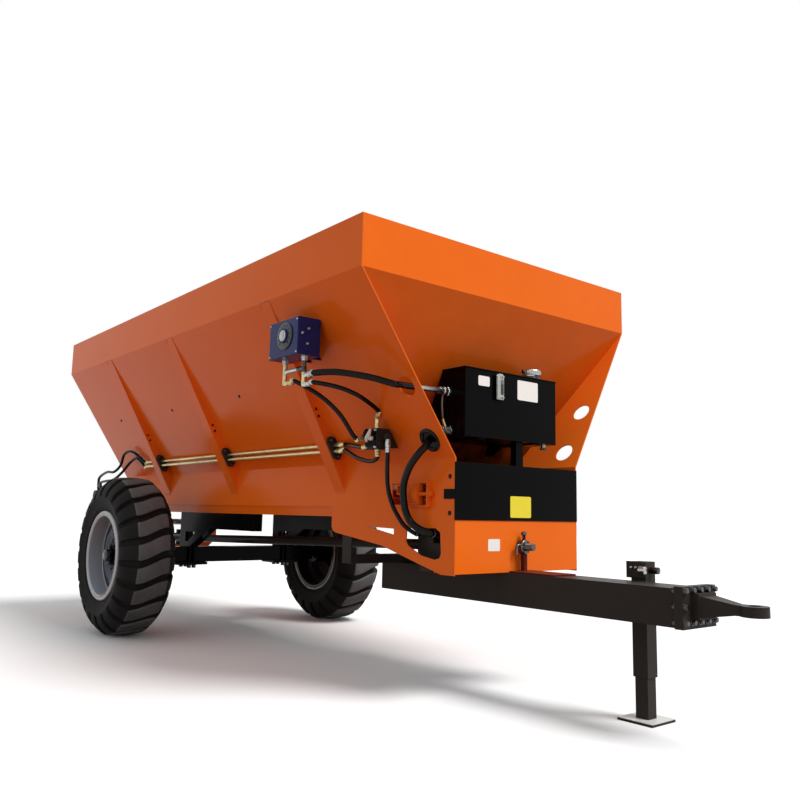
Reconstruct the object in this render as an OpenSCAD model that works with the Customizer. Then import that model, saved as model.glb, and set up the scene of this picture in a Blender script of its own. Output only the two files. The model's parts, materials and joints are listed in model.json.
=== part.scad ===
// Towed manure spreader. A V-shaped hopper on one axle is emptied by a slat
// conveyor in its trough onto two spinner discs behind it.
// Millimetres. X runs forward to the hitch, Y to the left, Z up from the ground.
// Places along X are measured from the axle until the whole machine is centred.

/* [Hopper] */
// Width over the vertical band at the top
hopper_w = 2109; // [1900:1:2200]
// Height of the top edge above the ground
top_z = 2401; // [2300:1:2600]
// Height of the vertical band
band_h = 272; // [200:1:340]
// Height at which the slanted walls turn vertical
bend_z = 1229; // [1215:1:1300]
// Width of the conveyor trough outside
trough_w = 962; // [900:1:1040]
// Underside of the side plates along the trough
sill_z = 917; // [905:1:925]
// From the axle forward to the band
front_reach = 3105; // [3080:1:3300]
// From the axle back to the rear wall
rear_reach = 1306; // [1250:1:1320]
// How far the side plates' front edge stands ahead of the band
nose_lead = 68; // [50:1:120]
// Slope of the front wall from the ground, in degrees
front_slope = 65; // [63:0.5:70]
// Thickness of the hopper sheets
sheet_t = 6; // [4:0.5:8]
// Width of the lip folded in along the top edge
lip_w = 35; // [20:1:60]
// Underside of the side plates at the nose
nose_z = 640; // [620:1:650]

/* [Ribs] */
// Width of a rib along the wall
rib_w = 100; // [80:1:130]
// Sheet of a rib
rib_t = 5; // [3:0.5:6]
// Height of a rib's foot on the side plate
rib_foot_z = 1065; // [1030:1:1100]
// Place of the front rib
front_rib_x = 2170; // [2130:1:2200]
// Place of the middle rib
middle_rib_x = 835; // [700:1:1000]
// Place of the rear rib
rear_rib_x = -340; // [-500:1:-250]

/* [Gate] */
// Height of the discharge opening's upper edge
outlet_top_z = 1560; // [1480:1:1600]
// Lift of the gate
gate_travel = 300; // [200:1:320]
// Thickness of the gate plate
gate_t = 8; // [6:0.5:10]

/* [Conveyor] */
// Height of the conveyor's two shafts
conveyor_z = 1047; // [1044:1:1052]
// Place of the front idler shaft
idler_x = 2870; // [2850:1:2890]
// Place of the rear drive shaft
drive_x = -1380; // [-1395:1:-1370]
// Radius inside the chain where it runs round the shafts
chain_r = 55; // [50:1:58]
// Height of a chain strand
chain_h = 30; // [20:1:34]
// Width of a chain strand
chain_w = 40; // [30:1:50]
// Distance of a strand from the middle
chain_y = 330; // [300:1:350]
// Spacing of the slats along the loop
slat_pitch = 340; // [250:10:500]
// Height of a slat's upright leg
slat_h = 26; // [15:1:30]
// Radius of the idler and drive shafts
roller_shaft_r = 25; // [20:1:30]

/* [Axle and wheels] */
// Radius of the tyre over its lugs
tyre_r = 588; // [570:1:600]
// Width of the tyre
tyre_w = 404; // [380:1:420]
// Depth of the grooves between the lugs
lug_depth = 32; // [20:1:36]
// Lugs round one tyre
lug_count = 22; // [14:1:24]
// Radius of the rim's bead seat
bead_r = 305; // [295:1:315]
// Distance between the wheels' middles
track_w = 1890; // [1860:1:1960]
// Side of the square axle beam
axle_sq = 120; // [100:1:130]
// Radius of the wheel spindle
spindle_r = 35; // [30:1:42]

/* [Drawbar] */
// Width of the drawbar tube
bar_w = 200; // [160:1:220]
// Height of the drawbar tube
bar_h = 167; // [140:1:180]
// Underside of the drawbar
bar_z = 480; // [460:1:482]
// Wall of the drawbar tube
bar_t = 10; // [6:1:14]
// Rear end of the drawbar
bar_rear_x = 2110; // [2050:1:2140]
// Front end of the drawbar
bar_front_x = 4170; // [4050:1:4300]
// From the drawbar's end to the middle of the eye
eye_reach = 286; // [250:1:340]
// Outer width of the eye
eye_od = 116; // [100:1:130]
// Bore of the eye
eye_bore = 50; // [40:1:60]
// Thickness of the eye
eye_t = 44; // [30:1:60]

/* [Jack] */
// Place of the jack along the drawbar
jack_x = 3830; // [3700:1:3900]
// Side of the jack's outer tube
jack_sq = 80; // [70:1:100]
// Top of the jack's outer tube
jack_top_z = 738; // [700:1:800]
// Lower end of the jack's outer tube
jack_low_z = 200; // [190:1:230]
// Lift of the jack's leg
jack_travel = 170; // [100:1:175]

/* [Driveline] */
// Height of the power take-off stub at the front
pto_z = 779; // [770:1:790]
// Slope of the driveline down to the rear, in degrees
drive_dip = 1.4; // [1.3:0.1:1.5]
// Radius of the power take-off stub
pto_r = 17.5; // [15:0.1:22]
// Radius of the drive tube
tube_r = 32; // [25:1:36]

/* [Spinners] */
// Place of the spinners behind the axle
spinner_x = -1800; // [-1850:1:-1790]
// Distance of a spinner from the middle
spinner_y = 340; // [320:1:380]
// Radius of a spinner disc
disc_r = 300; // [260:1:310]
// Thickness of a spinner disc
disc_t = 6; // [4:1:10]
// Height of a throwing vane
vane_h = 50; // [30:1:60]
// Throwing vanes on each disc
vane_count = 4; // [3:1:6]

/* [Hydraulics] */
// Radius of the steel pipes
pipe_r = 11; // [8:0.5:13]
// Radius of the pressure hoses
hose_r = 12; // [9:0.5:14]
// Radius of the return hose
return_hose_r = 17; // [14:0.5:20]
// Radius of the suction hose
suction_hose_r = 19; // [16:0.5:20]
// Width of the oil tank
tank_w = 730; // [650:1:760]
// Height of the oil tank's underside, as a share of the slanted wall
tank_rise = 0.138; // [0.13:0.002:0.18]
// Height of the oil tank
tank_h = 367; // [300:1:380]
// How far the tank's front stands ahead of the band
tank_lead = 15; // [0:1:60]

/* [Hidden] */

$fn = 64;
right = -1;
left = 1;
orange = "#E06A25";
red_brown = "#A33B1C";
black = "#1B1B1B";
dark_steel = "#3A3836";
rubber = "#2C2C2B";
silver = "#B9BDC0";
zinc = "#BFAE80";
blue = "#28397A";
steel = "#8C8F92";

// Gaps: parts laid on each other, shafts in bearings, slides in their guides
seat_gap = 0.3;
run_gap = 0.05;
slide_gap = 1;

half_w = hopper_w / 2;
half_trough = trough_w / 2;
trough_in = half_trough - sheet_t;
band_z = top_z - band_h;
nose_x = front_reach + nose_lead;
wall_lean = atan((half_w - half_trough) / (band_z - bend_z));
side_miter = sheet_t * tan(wall_lean / 2);
front_miter = sheet_t * tan((90 - front_slope) / 2);
rib_places = [rear_rib_x, middle_rib_x, front_rib_x];

tank_z = bend_z + tank_rise * (band_z - bend_z);
tank_top = tank_z + tank_h;
tank_front_x = front_reach + tank_lead;
port_x = tank_front_x - 130;
port_z = tank_top - 120;
suction_z = tank_z + 32;

chain_out_r = chain_r + chain_h;
floor_z = conveyor_z + chain_r;
loop_l = 2 * (idler_x - drive_x) + 2 * PI * chain_out_r;
slat_count = floor(loop_l / slat_pitch);
slat_step = loop_l / slat_count;
slat_foot = 40;
slat_t = 5;
slat_bed = 2;

// The front wall ends above the slats that pass under it
wall_foot_z = conveyor_z + chain_out_r + slat_h + slat_t + 20;
wall_foot_x = front_reach - (band_z - wall_foot_z) / tan(front_slope);

// Side plates behind the hopper that carry the drive shaft
tail_x = drive_x - 90;
tail_top_z = 1190;

lug_pitch = 360 / lug_count;
lug_share = 0.6;
axle_z = tyre_r * cos(lug_share * lug_pitch / 2);
wheel_y = track_w / 2;
bar_top = bar_z + bar_h;
cradle_h = 50;
pump_z = bar_top + cradle_h;
eye_x = bar_front_x + eye_reach;
shift_x = -(eye_x + eye_od / 2 + spinner_x - disc_r) / 2;

function wall_y(z) = -(half_trough + (z - bend_z) * tan(wall_lean));
function front_wall_x(z) = front_reach - (band_z - z) / tan(front_slope);
function rib_y(z) = -(half_trough + (z - rib_foot_z) * (half_w - half_trough) / (band_z - rib_foot_z));
function drive_z(x) = pto_z - (nose_x - x) * tan(drive_dip);

// Moves the machine from the axle's place to the middle of its length
module centred() {
    translate([shift_x, 0, 0]) children();
}

// Pieces are drawn on the right side and mirrored for the left
module on_side(side) {
    centred() mirror([0, side == left ? 1 : 0, 0]) children();
}

// An outline of X and Z, drawn out across the machine from y0 to y1
module side_view(y0, y1) {
    translate([0, y1, 0]) rotate([90, 0, 0]) linear_extrude(y1 - y0) children();
}

// An outline of Y and Z, drawn out along the machine from x0 to x1
module end_view(x0, x1) {
    translate([x0, 0, 0]) rotate([90, 0, 90]) linear_extrude(x1 - x0) children();
}

// A box from its lowest to its highest corner
module block(low, high) {
    translate(low) cube(high - low);
}

// A round bar along one axis
module bar_x(x0, x1, y, z, r) {
    translate([x0, y, z]) rotate([0, 90, 0]) cylinder(h = x1 - x0, r = r);
}
module bar_y(y0, y1, x, z, r) {
    translate([x, y0, z]) rotate([-90, 0, 0]) cylinder(h = y1 - y0, r = r);
}
module bar_z(z0, z1, x, y, r) {
    translate([x, y, z0]) cylinder(h = z1 - z0, r = r);
}

// A round rod from one point to another
module rod(a, b, r) {
    d = b - a;
    translate(a) rotate([0, acos(d[2] / norm(d)), atan2(d[1], d[0])]) cylinder(h = norm(d), r = r);
}

// Stands on the right slanted wall, with its Z out of the sheet
module on_wall(x, z) {
    translate([x, wall_y(z), z]) rotate([90 + wall_lean, 0, 0]) children();
}

// Hopper

// The folded side sheet from the lip to the nose
module side_section() {
    polygon([
        [-half_w, top_z], [-half_w, band_z], [-half_trough, bend_z], [-half_trough, nose_z],
        [-trough_in, nose_z], [-trough_in, bend_z + side_miter],
        [-half_w + sheet_t, band_z + side_miter], [-half_w + sheet_t, top_z - sheet_t],
        [-half_w + lip_w, top_z - sheet_t], [-half_w + lip_w, top_z]
    ]);
}

sill_front_x = 2090;
hem_z = sill_z + 58;
cheek_x = 2580;
cheek_z = 765;
nose_foot = 100;

// What the side sheet is trimmed to, seen from the side
module side_outline() {
    polygon([
        [-rear_reach, top_z], [front_reach, top_z], [front_reach, band_z], [nose_x, bend_z],
        [nose_x, nose_z], [nose_x - nose_foot, nose_z], [cheek_x, cheek_z],
        [sill_front_x + 45, sill_z - 95], [sill_front_x + 12, sill_z - 83],
        [sill_front_x, sill_z - 60], [sill_front_x, hem_z], [-rear_reach, hem_z],
        [-rear_reach, sill_z], [tail_x + 36, sill_z], [tail_x, sill_z + 36], [tail_x, tail_top_z],
        [-rear_reach, tail_top_z]
    ]);
}

window_half_h = 57;
window_back_x = idler_x - 200;
window_front_x = idler_x + 115;
hose_hole_z = port_z - 18;
hose_hole_r = 55;
hose_hole_x = front_reach - 60;
suction_hole_z = suction_z - 63;
suction_hole_x = nose_x - 130;
suction_hole_r = 57;
bolt_hole_r = 8;
wall_hole_z = (bend_z + band_z) / 2 + 11;

module plate_holes() {
    // Holes for the return hose and the suction hose
    on_wall(hose_hole_x, hose_hole_z) translate([0, 0, -30]) cylinder(h = 60, r = hose_hole_r);
    on_wall(suction_hole_x, suction_hole_z) translate([0, 0, -30]) cylinder(h = 60, r = suction_hole_r);
    // Bolt holes high on the wall between the ribs
    for (x = [rear_rib_x - 399, rear_rib_x + 661, middle_rib_x + 557])
        on_wall(x, wall_hole_z) translate([0, 0, -30]) cylinder(h = 60, r = bolt_hole_r);
    // Bolt holes along the nose
    for (z = [bend_z - 93, sill_z + 34])
        bar_y(-half_trough - 1, -trough_in + 1, nose_x - 38, z, bolt_hole_r);
    // Window of the chain take-up
    side_view(-half_trough - 1, -trough_in + 1) polygon([
        [window_back_x, conveyor_z - window_half_h], [window_front_x, conveyor_z - window_half_h],
        [window_front_x, conveyor_z + window_half_h], [window_back_x, conveyor_z + window_half_h]
    ]);
    // Cut-out at the pump
    side_view(-half_trough - 1, -trough_in + 1) polygon([
        [nose_x - 375, pump_z + 153], [nose_x - 355, pump_z + 169], [nose_x - 145, pump_z + 175],
        [nose_x - 108, pump_z + 153], [nose_x - 100, pump_z + 48], [nose_x - 112, pump_z + 25],
        [nose_x - 150, pump_z + 15], [nose_x - 255, pump_z + 31], [nose_x - 362, pump_z + 78],
        [nose_x - 378, pump_z + 98]
    ]);
    // Three-cornered slot behind it
    side_view(-half_trough - 1, -trough_in + 1)
        polygon([[nose_x - 725, pump_z + 169], [nose_x - 485, pump_z + 163], [nose_x - 485, pump_z + 131]]);
    // Drive shaft
    bar_y(-half_trough - 1, -trough_in + 1, drive_x, conveyor_z, roller_shaft_r + 5);
}

module hopper_side(side) {
    color(orange) on_side(side) difference() {
        intersection() {
            end_view(tail_x, nose_x) side_section();
            side_view(-half_w - 1, 0) side_outline();
        }
        plate_holes();
    }
}
module hopper_side_right() {
    hopper_side(right);
}
module hopper_side_left() {
    hopper_side(left);
}

// The space between the two side sheets
module between_sides() {
    half = [
        [half_w - lip_w, top_z], [half_w - lip_w, top_z - sheet_t],
        [half_w - sheet_t, top_z - sheet_t], [half_w - sheet_t, band_z + side_miter],
        [trough_in, bend_z + side_miter], [trough_in, sill_z]
    ];
    polygon(concat(half, [for (i = [len(half) - 1 : -1 : 0]) [-half[i][0], half[i][1]]]));
}

module hopper_front() {
    foot_t = sheet_t / sin(front_slope);
    color(orange) centred() intersection() {
        side_view(-half_w, half_w) polygon([
            [front_reach, top_z], [front_reach, band_z], [wall_foot_x, wall_foot_z],
            [wall_foot_x - foot_t, wall_foot_z], [front_reach - sheet_t, band_z + front_miter],
            [front_reach - sheet_t, top_z - sheet_t], [front_reach - lip_w, top_z - sheet_t],
            [front_reach - lip_w, top_z]
        ]);
        end_view(wall_foot_x - 100, front_reach) between_sides();
    }
}

module hopper_rear() {
    color(orange) centred() difference() {
        intersection() {
            side_view(-half_w, half_w) polygon([
                [-rear_reach, top_z], [-rear_reach, sill_z], [-rear_reach + sheet_t, sill_z],
                [-rear_reach + sheet_t, top_z - sheet_t], [-rear_reach + lip_w, top_z - sheet_t],
                [-rear_reach + lip_w, top_z]
            ]);
            end_view(-rear_reach, -rear_reach + 100) between_sides();
        }
        block([-rear_reach - 1, -trough_in - 1, 0], [-rear_reach + 100, trough_in + 1, outlet_top_z]);
    }
}

pipe_heights = [bend_z + 71, bend_z + 106];
pipe_mid_z = (pipe_heights[0] + pipe_heights[1]) / 2;
pipe_y = (wall_y(pipe_mid_z) + rib_y(pipe_mid_z)) / 2;
rib_slot_z = bend_z + 291;

// Three tapered channels, flush with the band and deepest at the bend
module ribs(side) {
    corners = [[-half_w, band_z], [-half_trough, bend_z], [-half_trough, rib_foot_z]];
    run = [half_w - half_trough, -(band_z - rib_foot_z)];
    inward = [-run[1], run[0]] * rib_t / norm(run);
    color(orange) on_side(side) for (x = rib_places) difference() {
        end_view(x - rib_w / 2, x + rib_w / 2) polygon(corners);
        end_view(x - rib_w / 2 + rib_t, x + rib_w / 2 - rib_t) translate(inward) polygon(corners);
        for (z = pipe_heights)
            bar_x(x - rib_w, x + rib_w, pipe_y, z, pipe_r + seat_gap);
        for (dz = [-20, 20])
            bar_x(x, x + rib_w, (wall_y(rib_slot_z) + rib_y(rib_slot_z)) / 2 - dz / 2, rib_slot_z + dz, 9);
    }
}
module ribs_right() {
    ribs(right);
}
module ribs_left() {
    ribs(left);
}

sill_h = 70;
sill_w = 30;
sill_lean = 12;

// Channels along the lower edges of the trough, leaning in under the side sheets
module sills() {
    out_y = -trough_in;
    in_y = out_y + sill_w;
    top = sill_z + sill_h;
    color(orange) for (side = [right, left]) on_side(side) end_view(-rear_reach, sill_front_x) polygon([
        [out_y, top], [out_y, hem_z], [out_y + sill_lean, sill_z], [in_y, sill_z],
        [in_y, sill_z + sheet_t], [out_y + sill_lean + sheet_t, sill_z + sheet_t], [out_y + sheet_t, hem_z],
        [out_y + sheet_t, top - sheet_t], [in_y, top - sheet_t], [in_y, top]
    ]);
}

// Conveyor

floor_back_x = drive_x + 110;
floor_front_x = idler_x - 110;
joist_w = 60;
joist_h = 50;
joist_count = 6;

module conveyor_floor() {
    span = floor_front_x - floor_back_x - joist_w;
    color(orange) centred() {
        block([floor_back_x, -trough_in, floor_z - sheet_t], [floor_front_x, trough_in, floor_z]);
        for (i = [0 : joist_count - 1])
            translate([floor_back_x + i * span / (joist_count - 1), 0, 0]) difference() {
                block([0, -trough_in, floor_z - sheet_t - joist_h], [joist_w, trough_in, floor_z - sheet_t]);
                block([sheet_t, -half_w, floor_z - joist_h], [joist_w + 1, half_w, floor_z - 2 * sheet_t]);
            }
    }
}

// Goes round the chain loop by a distance: X forward along it, Z outward
module on_loop(s) {
    top = idler_x - drive_x;
    turn = PI * chain_out_r;
    if (s < top)
        translate([drive_x + s, 0, conveyor_z + chain_out_r]) children();
    else if (s < top + turn)
        translate([idler_x, 0, conveyor_z]) rotate([0, (s - top) / chain_out_r * 180 / PI, 0])
            translate([0, 0, chain_out_r]) children();
    else if (s < 2 * top + turn)
        translate([idler_x - (s - top - turn), 0, conveyor_z - chain_out_r]) rotate([0, 180, 0]) children();
    else
        translate([drive_x, 0, conveyor_z]) rotate([0, (s - 2 * top) / chain_out_r * 180 / PI, 0])
            translate([0, 0, chain_out_r]) children();
}

module strand(r) {
    bar_y(-chain_w / 2, chain_w / 2, drive_x, conveyor_z, r);
    bar_y(-chain_w / 2, chain_w / 2, idler_x, conveyor_z, r);
    block([drive_x, -chain_w / 2, conveyor_z - r], [idler_x, chain_w / 2, conveyor_z + r]);
}

module slat_chain() {
    slat_l = trough_in - sill_w - 12;
    color(dark_steel) centred() {
        for (y = [-chain_y, chain_y]) translate([0, y, 0]) difference() {
            strand(chain_out_r);
            scale([1, 2, 1]) strand(chain_r);
        }
        for (i = [0 : slat_count - 1]) on_loop((i + 0.5) * slat_step) {
            block([-slat_foot / 2, -slat_l, -slat_bed], [slat_foot / 2, slat_l, slat_t]);
            block([-slat_foot / 2, -slat_l, 0], [-slat_foot / 2 + slat_t, slat_l, slat_t + slat_h]);
        }
    }
}

module chain_wheels(x) {
    for (y = [-chain_y, chain_y])
        bar_y(y - chain_w / 2 + 2, y + chain_w / 2 - 2, x, conveyor_z, chain_r - seat_gap);
}

take_up_out = half_trough + 26;

module idler_shaft() {
    color(steel) centred() {
        bar_y(-take_up_out - 8, take_up_out + 8, idler_x, conveyor_z, roller_shaft_r);
        chain_wheels(idler_x);
    }
}

block_half = 48;
rail_h = 12;
screw_r = 10;

// Bearing blocks that slide in the windows, with their rails and screws
module take_ups() {
    color(orange) for (side = [right, left]) on_side(side) {
        difference() {
            block([idler_x - block_half, -take_up_out, conveyor_z - window_half_h + seat_gap],
                  [idler_x + block_half, -trough_in, conveyor_z + window_half_h - seat_gap]);
            bar_y(-take_up_out - 1, 0, idler_x, conveyor_z, roller_shaft_r + run_gap);
        }
        for (z = [conveyor_z - window_half_h - rail_h, conveyor_z + window_half_h])
            block([window_back_x, -half_trough - 14, z], [window_front_x, -half_trough, z + rail_h]);
        block([window_front_x, -half_trough - 30, conveyor_z - window_half_h - rail_h],
              [window_front_x + 10, -half_trough, conveyor_z + window_half_h + rail_h]);
        bar_x(idler_x + block_half, window_front_x, -half_trough - 16, conveyor_z, screw_r);
    }
}

bearing_half = 52;
bearing_t = 30;

module drive_shaft() {
    color(steel) centred() {
        bar_y(-half_trough - bearing_t, half_trough + bearing_t + 8, drive_x, conveyor_z, roller_shaft_r);
        chain_wheels(drive_x);
        for (side = [right, left])
            block([drive_x - bearing_half, side * (half_trough + bearing_t / 2) - bearing_t / 2,
                   conveyor_z - bearing_half],
                  [drive_x + bearing_half, side * (half_trough + bearing_t / 2) + bearing_t / 2,
                   conveyor_z + bearing_half]);
    }
}

motor_face_y = half_trough + bearing_t;
motor_end_y = motor_face_y + 230;

// Hydraulic motor and reduction gear on the right end of the drive shaft
module conveyor_motor() {
    color(dark_steel) on_side(right) {
        bar_y(-motor_face_y - 110, -motor_face_y, drive_x, conveyor_z, 78);
        bar_y(-motor_face_y - 125, -motor_face_y - 110, drive_x, conveyor_z, 62);
        bar_y(-motor_end_y, -motor_face_y - 125, drive_x, conveyor_z, 50);
        for (dx = [-25, 25])
            bar_z(conveyor_z + 40, conveyor_z + 80, drive_x + dx, -motor_end_y + 40, 13);
    }
}

// Gate

gate_half_w = trough_in - 5;
gate_low_z = wall_foot_z + 4;
gate_high_z = outlet_top_z + 70;
gate_x = -rear_reach - slide_gap;
lug_top_z = gate_high_z - 20;
rod_x = gate_x - gate_t - 45;
rod_r = 16;
barrel_r = 32;
barrel_low_z = gate_high_z + gate_travel + 25;

module gate() {
    color(orange) centred() {
        block([gate_x - gate_t, -gate_half_w, gate_low_z], [gate_x, gate_half_w, gate_high_z]);
        // Stiffeners across the plate
        for (z = [gate_low_z, gate_low_z + 190])
            block([gate_x - gate_t - 40, -gate_half_w + 60, z], [gate_x - gate_t, gate_half_w - 60, z + 8]);
        // Ears for the cylinder rod
        for (y = [-34, 24])
            block([rod_x - 25, y, lug_top_z - 110], [gate_x - gate_t, y + 10, lug_top_z]);
        bar_y(-34, 34, rod_x, lug_top_z - 60, 14);
        // Rod of the lift cylinder
        bar_z(lug_top_z - 60, barrel_low_z + 20, rod_x, 0, rod_r);
    }
}

module gate_guides() {
    guide_top = gate_high_z + gate_travel + 20;
    color(orange) for (side = [right, left]) on_side(side) {
        difference() {
            block([gate_x - gate_t - slide_gap - 8, -gate_half_w - 40, bend_z + 60],
                  [-rear_reach, -gate_half_w + 25, guide_top]);
            block([gate_x - gate_t - slide_gap, -gate_half_w - slide_gap, 0],
                  [-rear_reach + 1, half_w, guide_top + 1]);
        }
    }
}

// Barrel of the lift cylinder, held by a clevis at its top
module gate_cylinder() {
    barrel_top = barrel_low_z + gate_travel + 55;
    color(dark_steel) centred() {
        difference() {
            bar_z(barrel_low_z, barrel_top, rod_x, 0, barrel_r);
            bar_z(barrel_low_z - 1, barrel_top - 15, rod_x, 0, rod_r + run_gap);
        }
        for (z = [barrel_low_z + 30, barrel_top - 60])
            difference() {
                block([rod_x - 10, -45, z], [-rear_reach, 45, z + 40]);
                bar_z(z - 1, z + 41, rod_x, 0, barrel_r - 1);
            }
    }
}

// Front

front_box_top = sill_z;
pto_hole_r = 30;

module front_box() {
    color(orange) centred() difference() {
        block([nose_x - 160, -trough_in, bar_top], [nose_x, trough_in, front_box_top]);
        block([nose_x - 161, -trough_in - 1, bar_top + sheet_t],
              [nose_x - sheet_t, trough_in + 1, front_box_top - sheet_t]);
        translate([nose_x, 0, pto_z]) rotate([0, 90, 0]) cylinder(h = 40, r = pto_hole_r, center = true);
    }
}

cover_top_z = bend_z - 19;
cover_t = 4;
tab_h = 50;

// Black cover over the front of the conveyor, with its lid and side tabs
module front_cover() {
    color(black) centred() {
        block([nose_x, -half_trough - cover_t, front_box_top],
              [nose_x + cover_t, half_trough, cover_top_z]);
        block([front_wall_x(cover_top_z) + 10, -trough_in, cover_top_z - cover_t],
              [nose_x + cover_t, trough_in - 30, cover_top_z]);
        block([nose_x - 80, -half_trough - cover_t, conveyor_z - tab_h / 2],
              [nose_x + cover_t, -half_trough, conveyor_z + tab_h / 2]);
    }
}

tank_gap = 25;

module oil_tank() {
    color(black) centred() side_view(-tank_w / 2, tank_w / 2) polygon([
        [tank_front_x, tank_z], [tank_front_x, tank_top],
        [front_wall_x(tank_top) + tank_gap, tank_top], [front_wall_x(tank_z) + tank_gap, tank_z]
    ]);
}

glass_y = -110;
cap_y = 210;
tank_port_l = 45;
port_boss_l = 20;
return_pipe_r = 14;
return_end = [hose_hole_x - 8, wall_y(port_z) - 30, port_z - 12];

// Sight glass, filler cap, return pipe, suction port and drain plug of the tank
module tank_fittings() {
    color(silver) centred() {
        block([tank_front_x, glass_y - 17, tank_top - 150], [tank_front_x + 14, glass_y + 17, tank_top - 8]);
        bar_z(tank_top, tank_top + 22, tank_front_x - 60, cap_y, 26);
        bar_z(tank_top + 22, tank_top + 48, tank_front_x - 60, cap_y, 40);
        bar_y(-tank_w / 2 - port_boss_l, -tank_w / 2, port_x, port_z, 22);
        rod([port_x, -tank_w / 2 - port_boss_l / 2, port_z], return_end, return_pipe_r);
        bar_y(-tank_w / 2 - tank_port_l, -tank_w / 2, port_x + 20, suction_z, 22);
        bar_z(tank_z - 18, tank_z, tank_front_x - 60, cap_y + 115, 14);
    }
}

module tank_bracket() {
    color(dark_steel) centred() for (y = [-250, 190]) side_view(y, y + 60) polygon([
        [front_wall_x(tank_z - 60), tank_z - 60], [front_wall_x(tank_z), tank_z],
        [tank_front_x - 20, tank_z], [tank_front_x - 20, tank_z - 8], [front_wall_x(tank_z) + 60, tank_z - 8]
    ]);
}

// Hydraulics on the right side

box_x = front_rib_x + 148;
box_l = 292;
box_d = 136;
box_z = band_z - 369;
box_h = 203;
box_gap = 4;
box_low = [box_x, wall_y(box_z + box_h) - box_gap - box_d, box_z];
box_high = [box_x + box_l, wall_y(box_z + box_h) - box_gap, box_z + box_h];
dial = [box_x + 164, box_z + 112];
dial_r = 75;
dial_t = 8;
knob_r = 40;
knob_t = 14;
fitting_r = 11;
port_y = box_low[1] + 60;
port_a = [box_x + 72, port_y, box_z - 130];
port_b = [box_x + 265, port_y, box_z - 105];
port_drop = 50;
port_a_l = 70;
port_b_l = 60;

// Blue flow control box on two feet, with its dial and the ports under it
module flow_control() {
    foot_t = 10;
    foot_low = box_z + 20;
    foot_high = box_z + box_h - 30;
    color(blue) centred() {
        block(box_low, box_high);
        for (x = [box_x + 20, box_x + 120]) end_view(x, x + foot_t) polygon([
            [box_high[1] - 1, foot_low], [wall_y(foot_low), foot_low],
            [wall_y(foot_high), foot_high], [box_high[1] - 1, foot_high]
        ]);
        bar_y(box_low[1] - dial_t, box_low[1], dial[0], dial[1], dial_r);
        bar_y(box_low[1] - dial_t - knob_t, box_low[1] - dial_t, dial[0], dial[1], knob_r);
        bar_z(port_a[2] - fitting_r, box_z, port_a[0], port_y, fitting_r);
        bar_x(port_a[0], port_a[0] + port_a_l, port_y, port_a[2], fitting_r);
        bar_z(port_b[2] - port_drop - fitting_r, box_z, port_b[0], port_y, fitting_r);
        for (z = [port_b[2], port_b[2] - port_drop])
            bar_x(port_b[0], port_b[0] + port_b_l, port_y, z, fitting_r);
    }
}

valve_x = box_x + 367;
valve_z = bend_z + 51;
valve_w = 100;
valve_d = 90;
valve_h = 110;
valve_gap = 16;
valve_back_y = wall_y(valve_z + valve_h) - valve_gap;
valve_y = valve_back_y - valve_d / 2;
valve_port_l = 35;
inlet_x = valve_x - valve_port_l;
inlet_z = valve_z + 65;
inlet_y = valve_y - 45;
outlet_z = valve_z + 20;
feed_x = valve_x + 70;
feed_y = valve_y - 20;
feed_z = valve_z + valve_h + 55;
drop_x = valve_x + valve_w + 40;
elbow_half = fitting_r + 4;

// Valve block on a foot against the slanted wall, with its pipe fittings
module valve_block() {
    foot_low = valve_z + 15;
    foot_high = valve_z + valve_h - 15;
    color(black) centred() {
        block([valve_x, valve_back_y - valve_d, valve_z],
              [valve_x + valve_w, valve_back_y, valve_z + valve_h]);
        end_view(valve_x + 20, valve_x + valve_w - 20) polygon([
            [valve_back_y - 1, foot_low], [wall_y(foot_low), foot_low],
            [wall_y(foot_high), foot_high], [valve_back_y - 1, foot_high]
        ]);
        bar_z(valve_z + valve_h, feed_z, feed_x, feed_y, fitting_r);
        for (x = [inlet_x, drop_x])
            block([x - elbow_half, valve_y - elbow_half, inlet_z - elbow_half],
                  [x + elbow_half, valve_y + elbow_half, inlet_z + elbow_half]);
        bar_x(inlet_x, drop_x, valve_y, inlet_z, fitting_r);
        bar_y(inlet_y, valve_y, inlet_x, inlet_z, fitting_r);
        bar_x(inlet_x, valve_x + valve_w / 2, valve_y, outlet_z, fitting_r);
        bar_z(outlet_z, inlet_z, drop_x, valve_y, fitting_r);
    }
}

pipe_back_x = rear_rib_x - 260;
pipe_front_x = front_rib_x + 130;

module steel_pipes() {
    color(zinc) centred() for (z = pipe_heights)
        bar_x(pipe_back_x, pipe_front_x, pipe_y, z, pipe_r);
}

clamp_tilt = atan((wall_y(bend_z) - wall_y(band_z) + rib_y(bend_z) - rib_y(band_z)) / 2 / (band_z - bend_z));
clamp_half_w = 0.42 * (wall_y(pipe_mid_z) - rib_y(pipe_mid_z)) * cos(clamp_tilt);
clamp_half_h = 74;
clamp_corner = 0.75 * clamp_half_w;
clamp_t = 20;

// Clamp plates on the ribs' webs, in line with the ribs
module pipe_clamps() {
    w = clamp_half_w;
    h = clamp_half_h;
    c = clamp_corner;
    color(black) centred() for (x = rib_places) difference() {
        translate([x + rib_w / 2, pipe_y, pipe_mid_z]) rotate([clamp_tilt, 0, 0]) end_view(0, clamp_t)
            polygon([
                [w, h - c], [w - c, h], [c - w, h], [-w, h - c],
                [-w, c - h], [c - w, -h], [w - c, -h], [w, c - h]
            ]);
        for (z = pipe_heights)
            bar_x(x, x + rib_w, pipe_y, z, pipe_r + seat_gap);
    }
}

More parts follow.
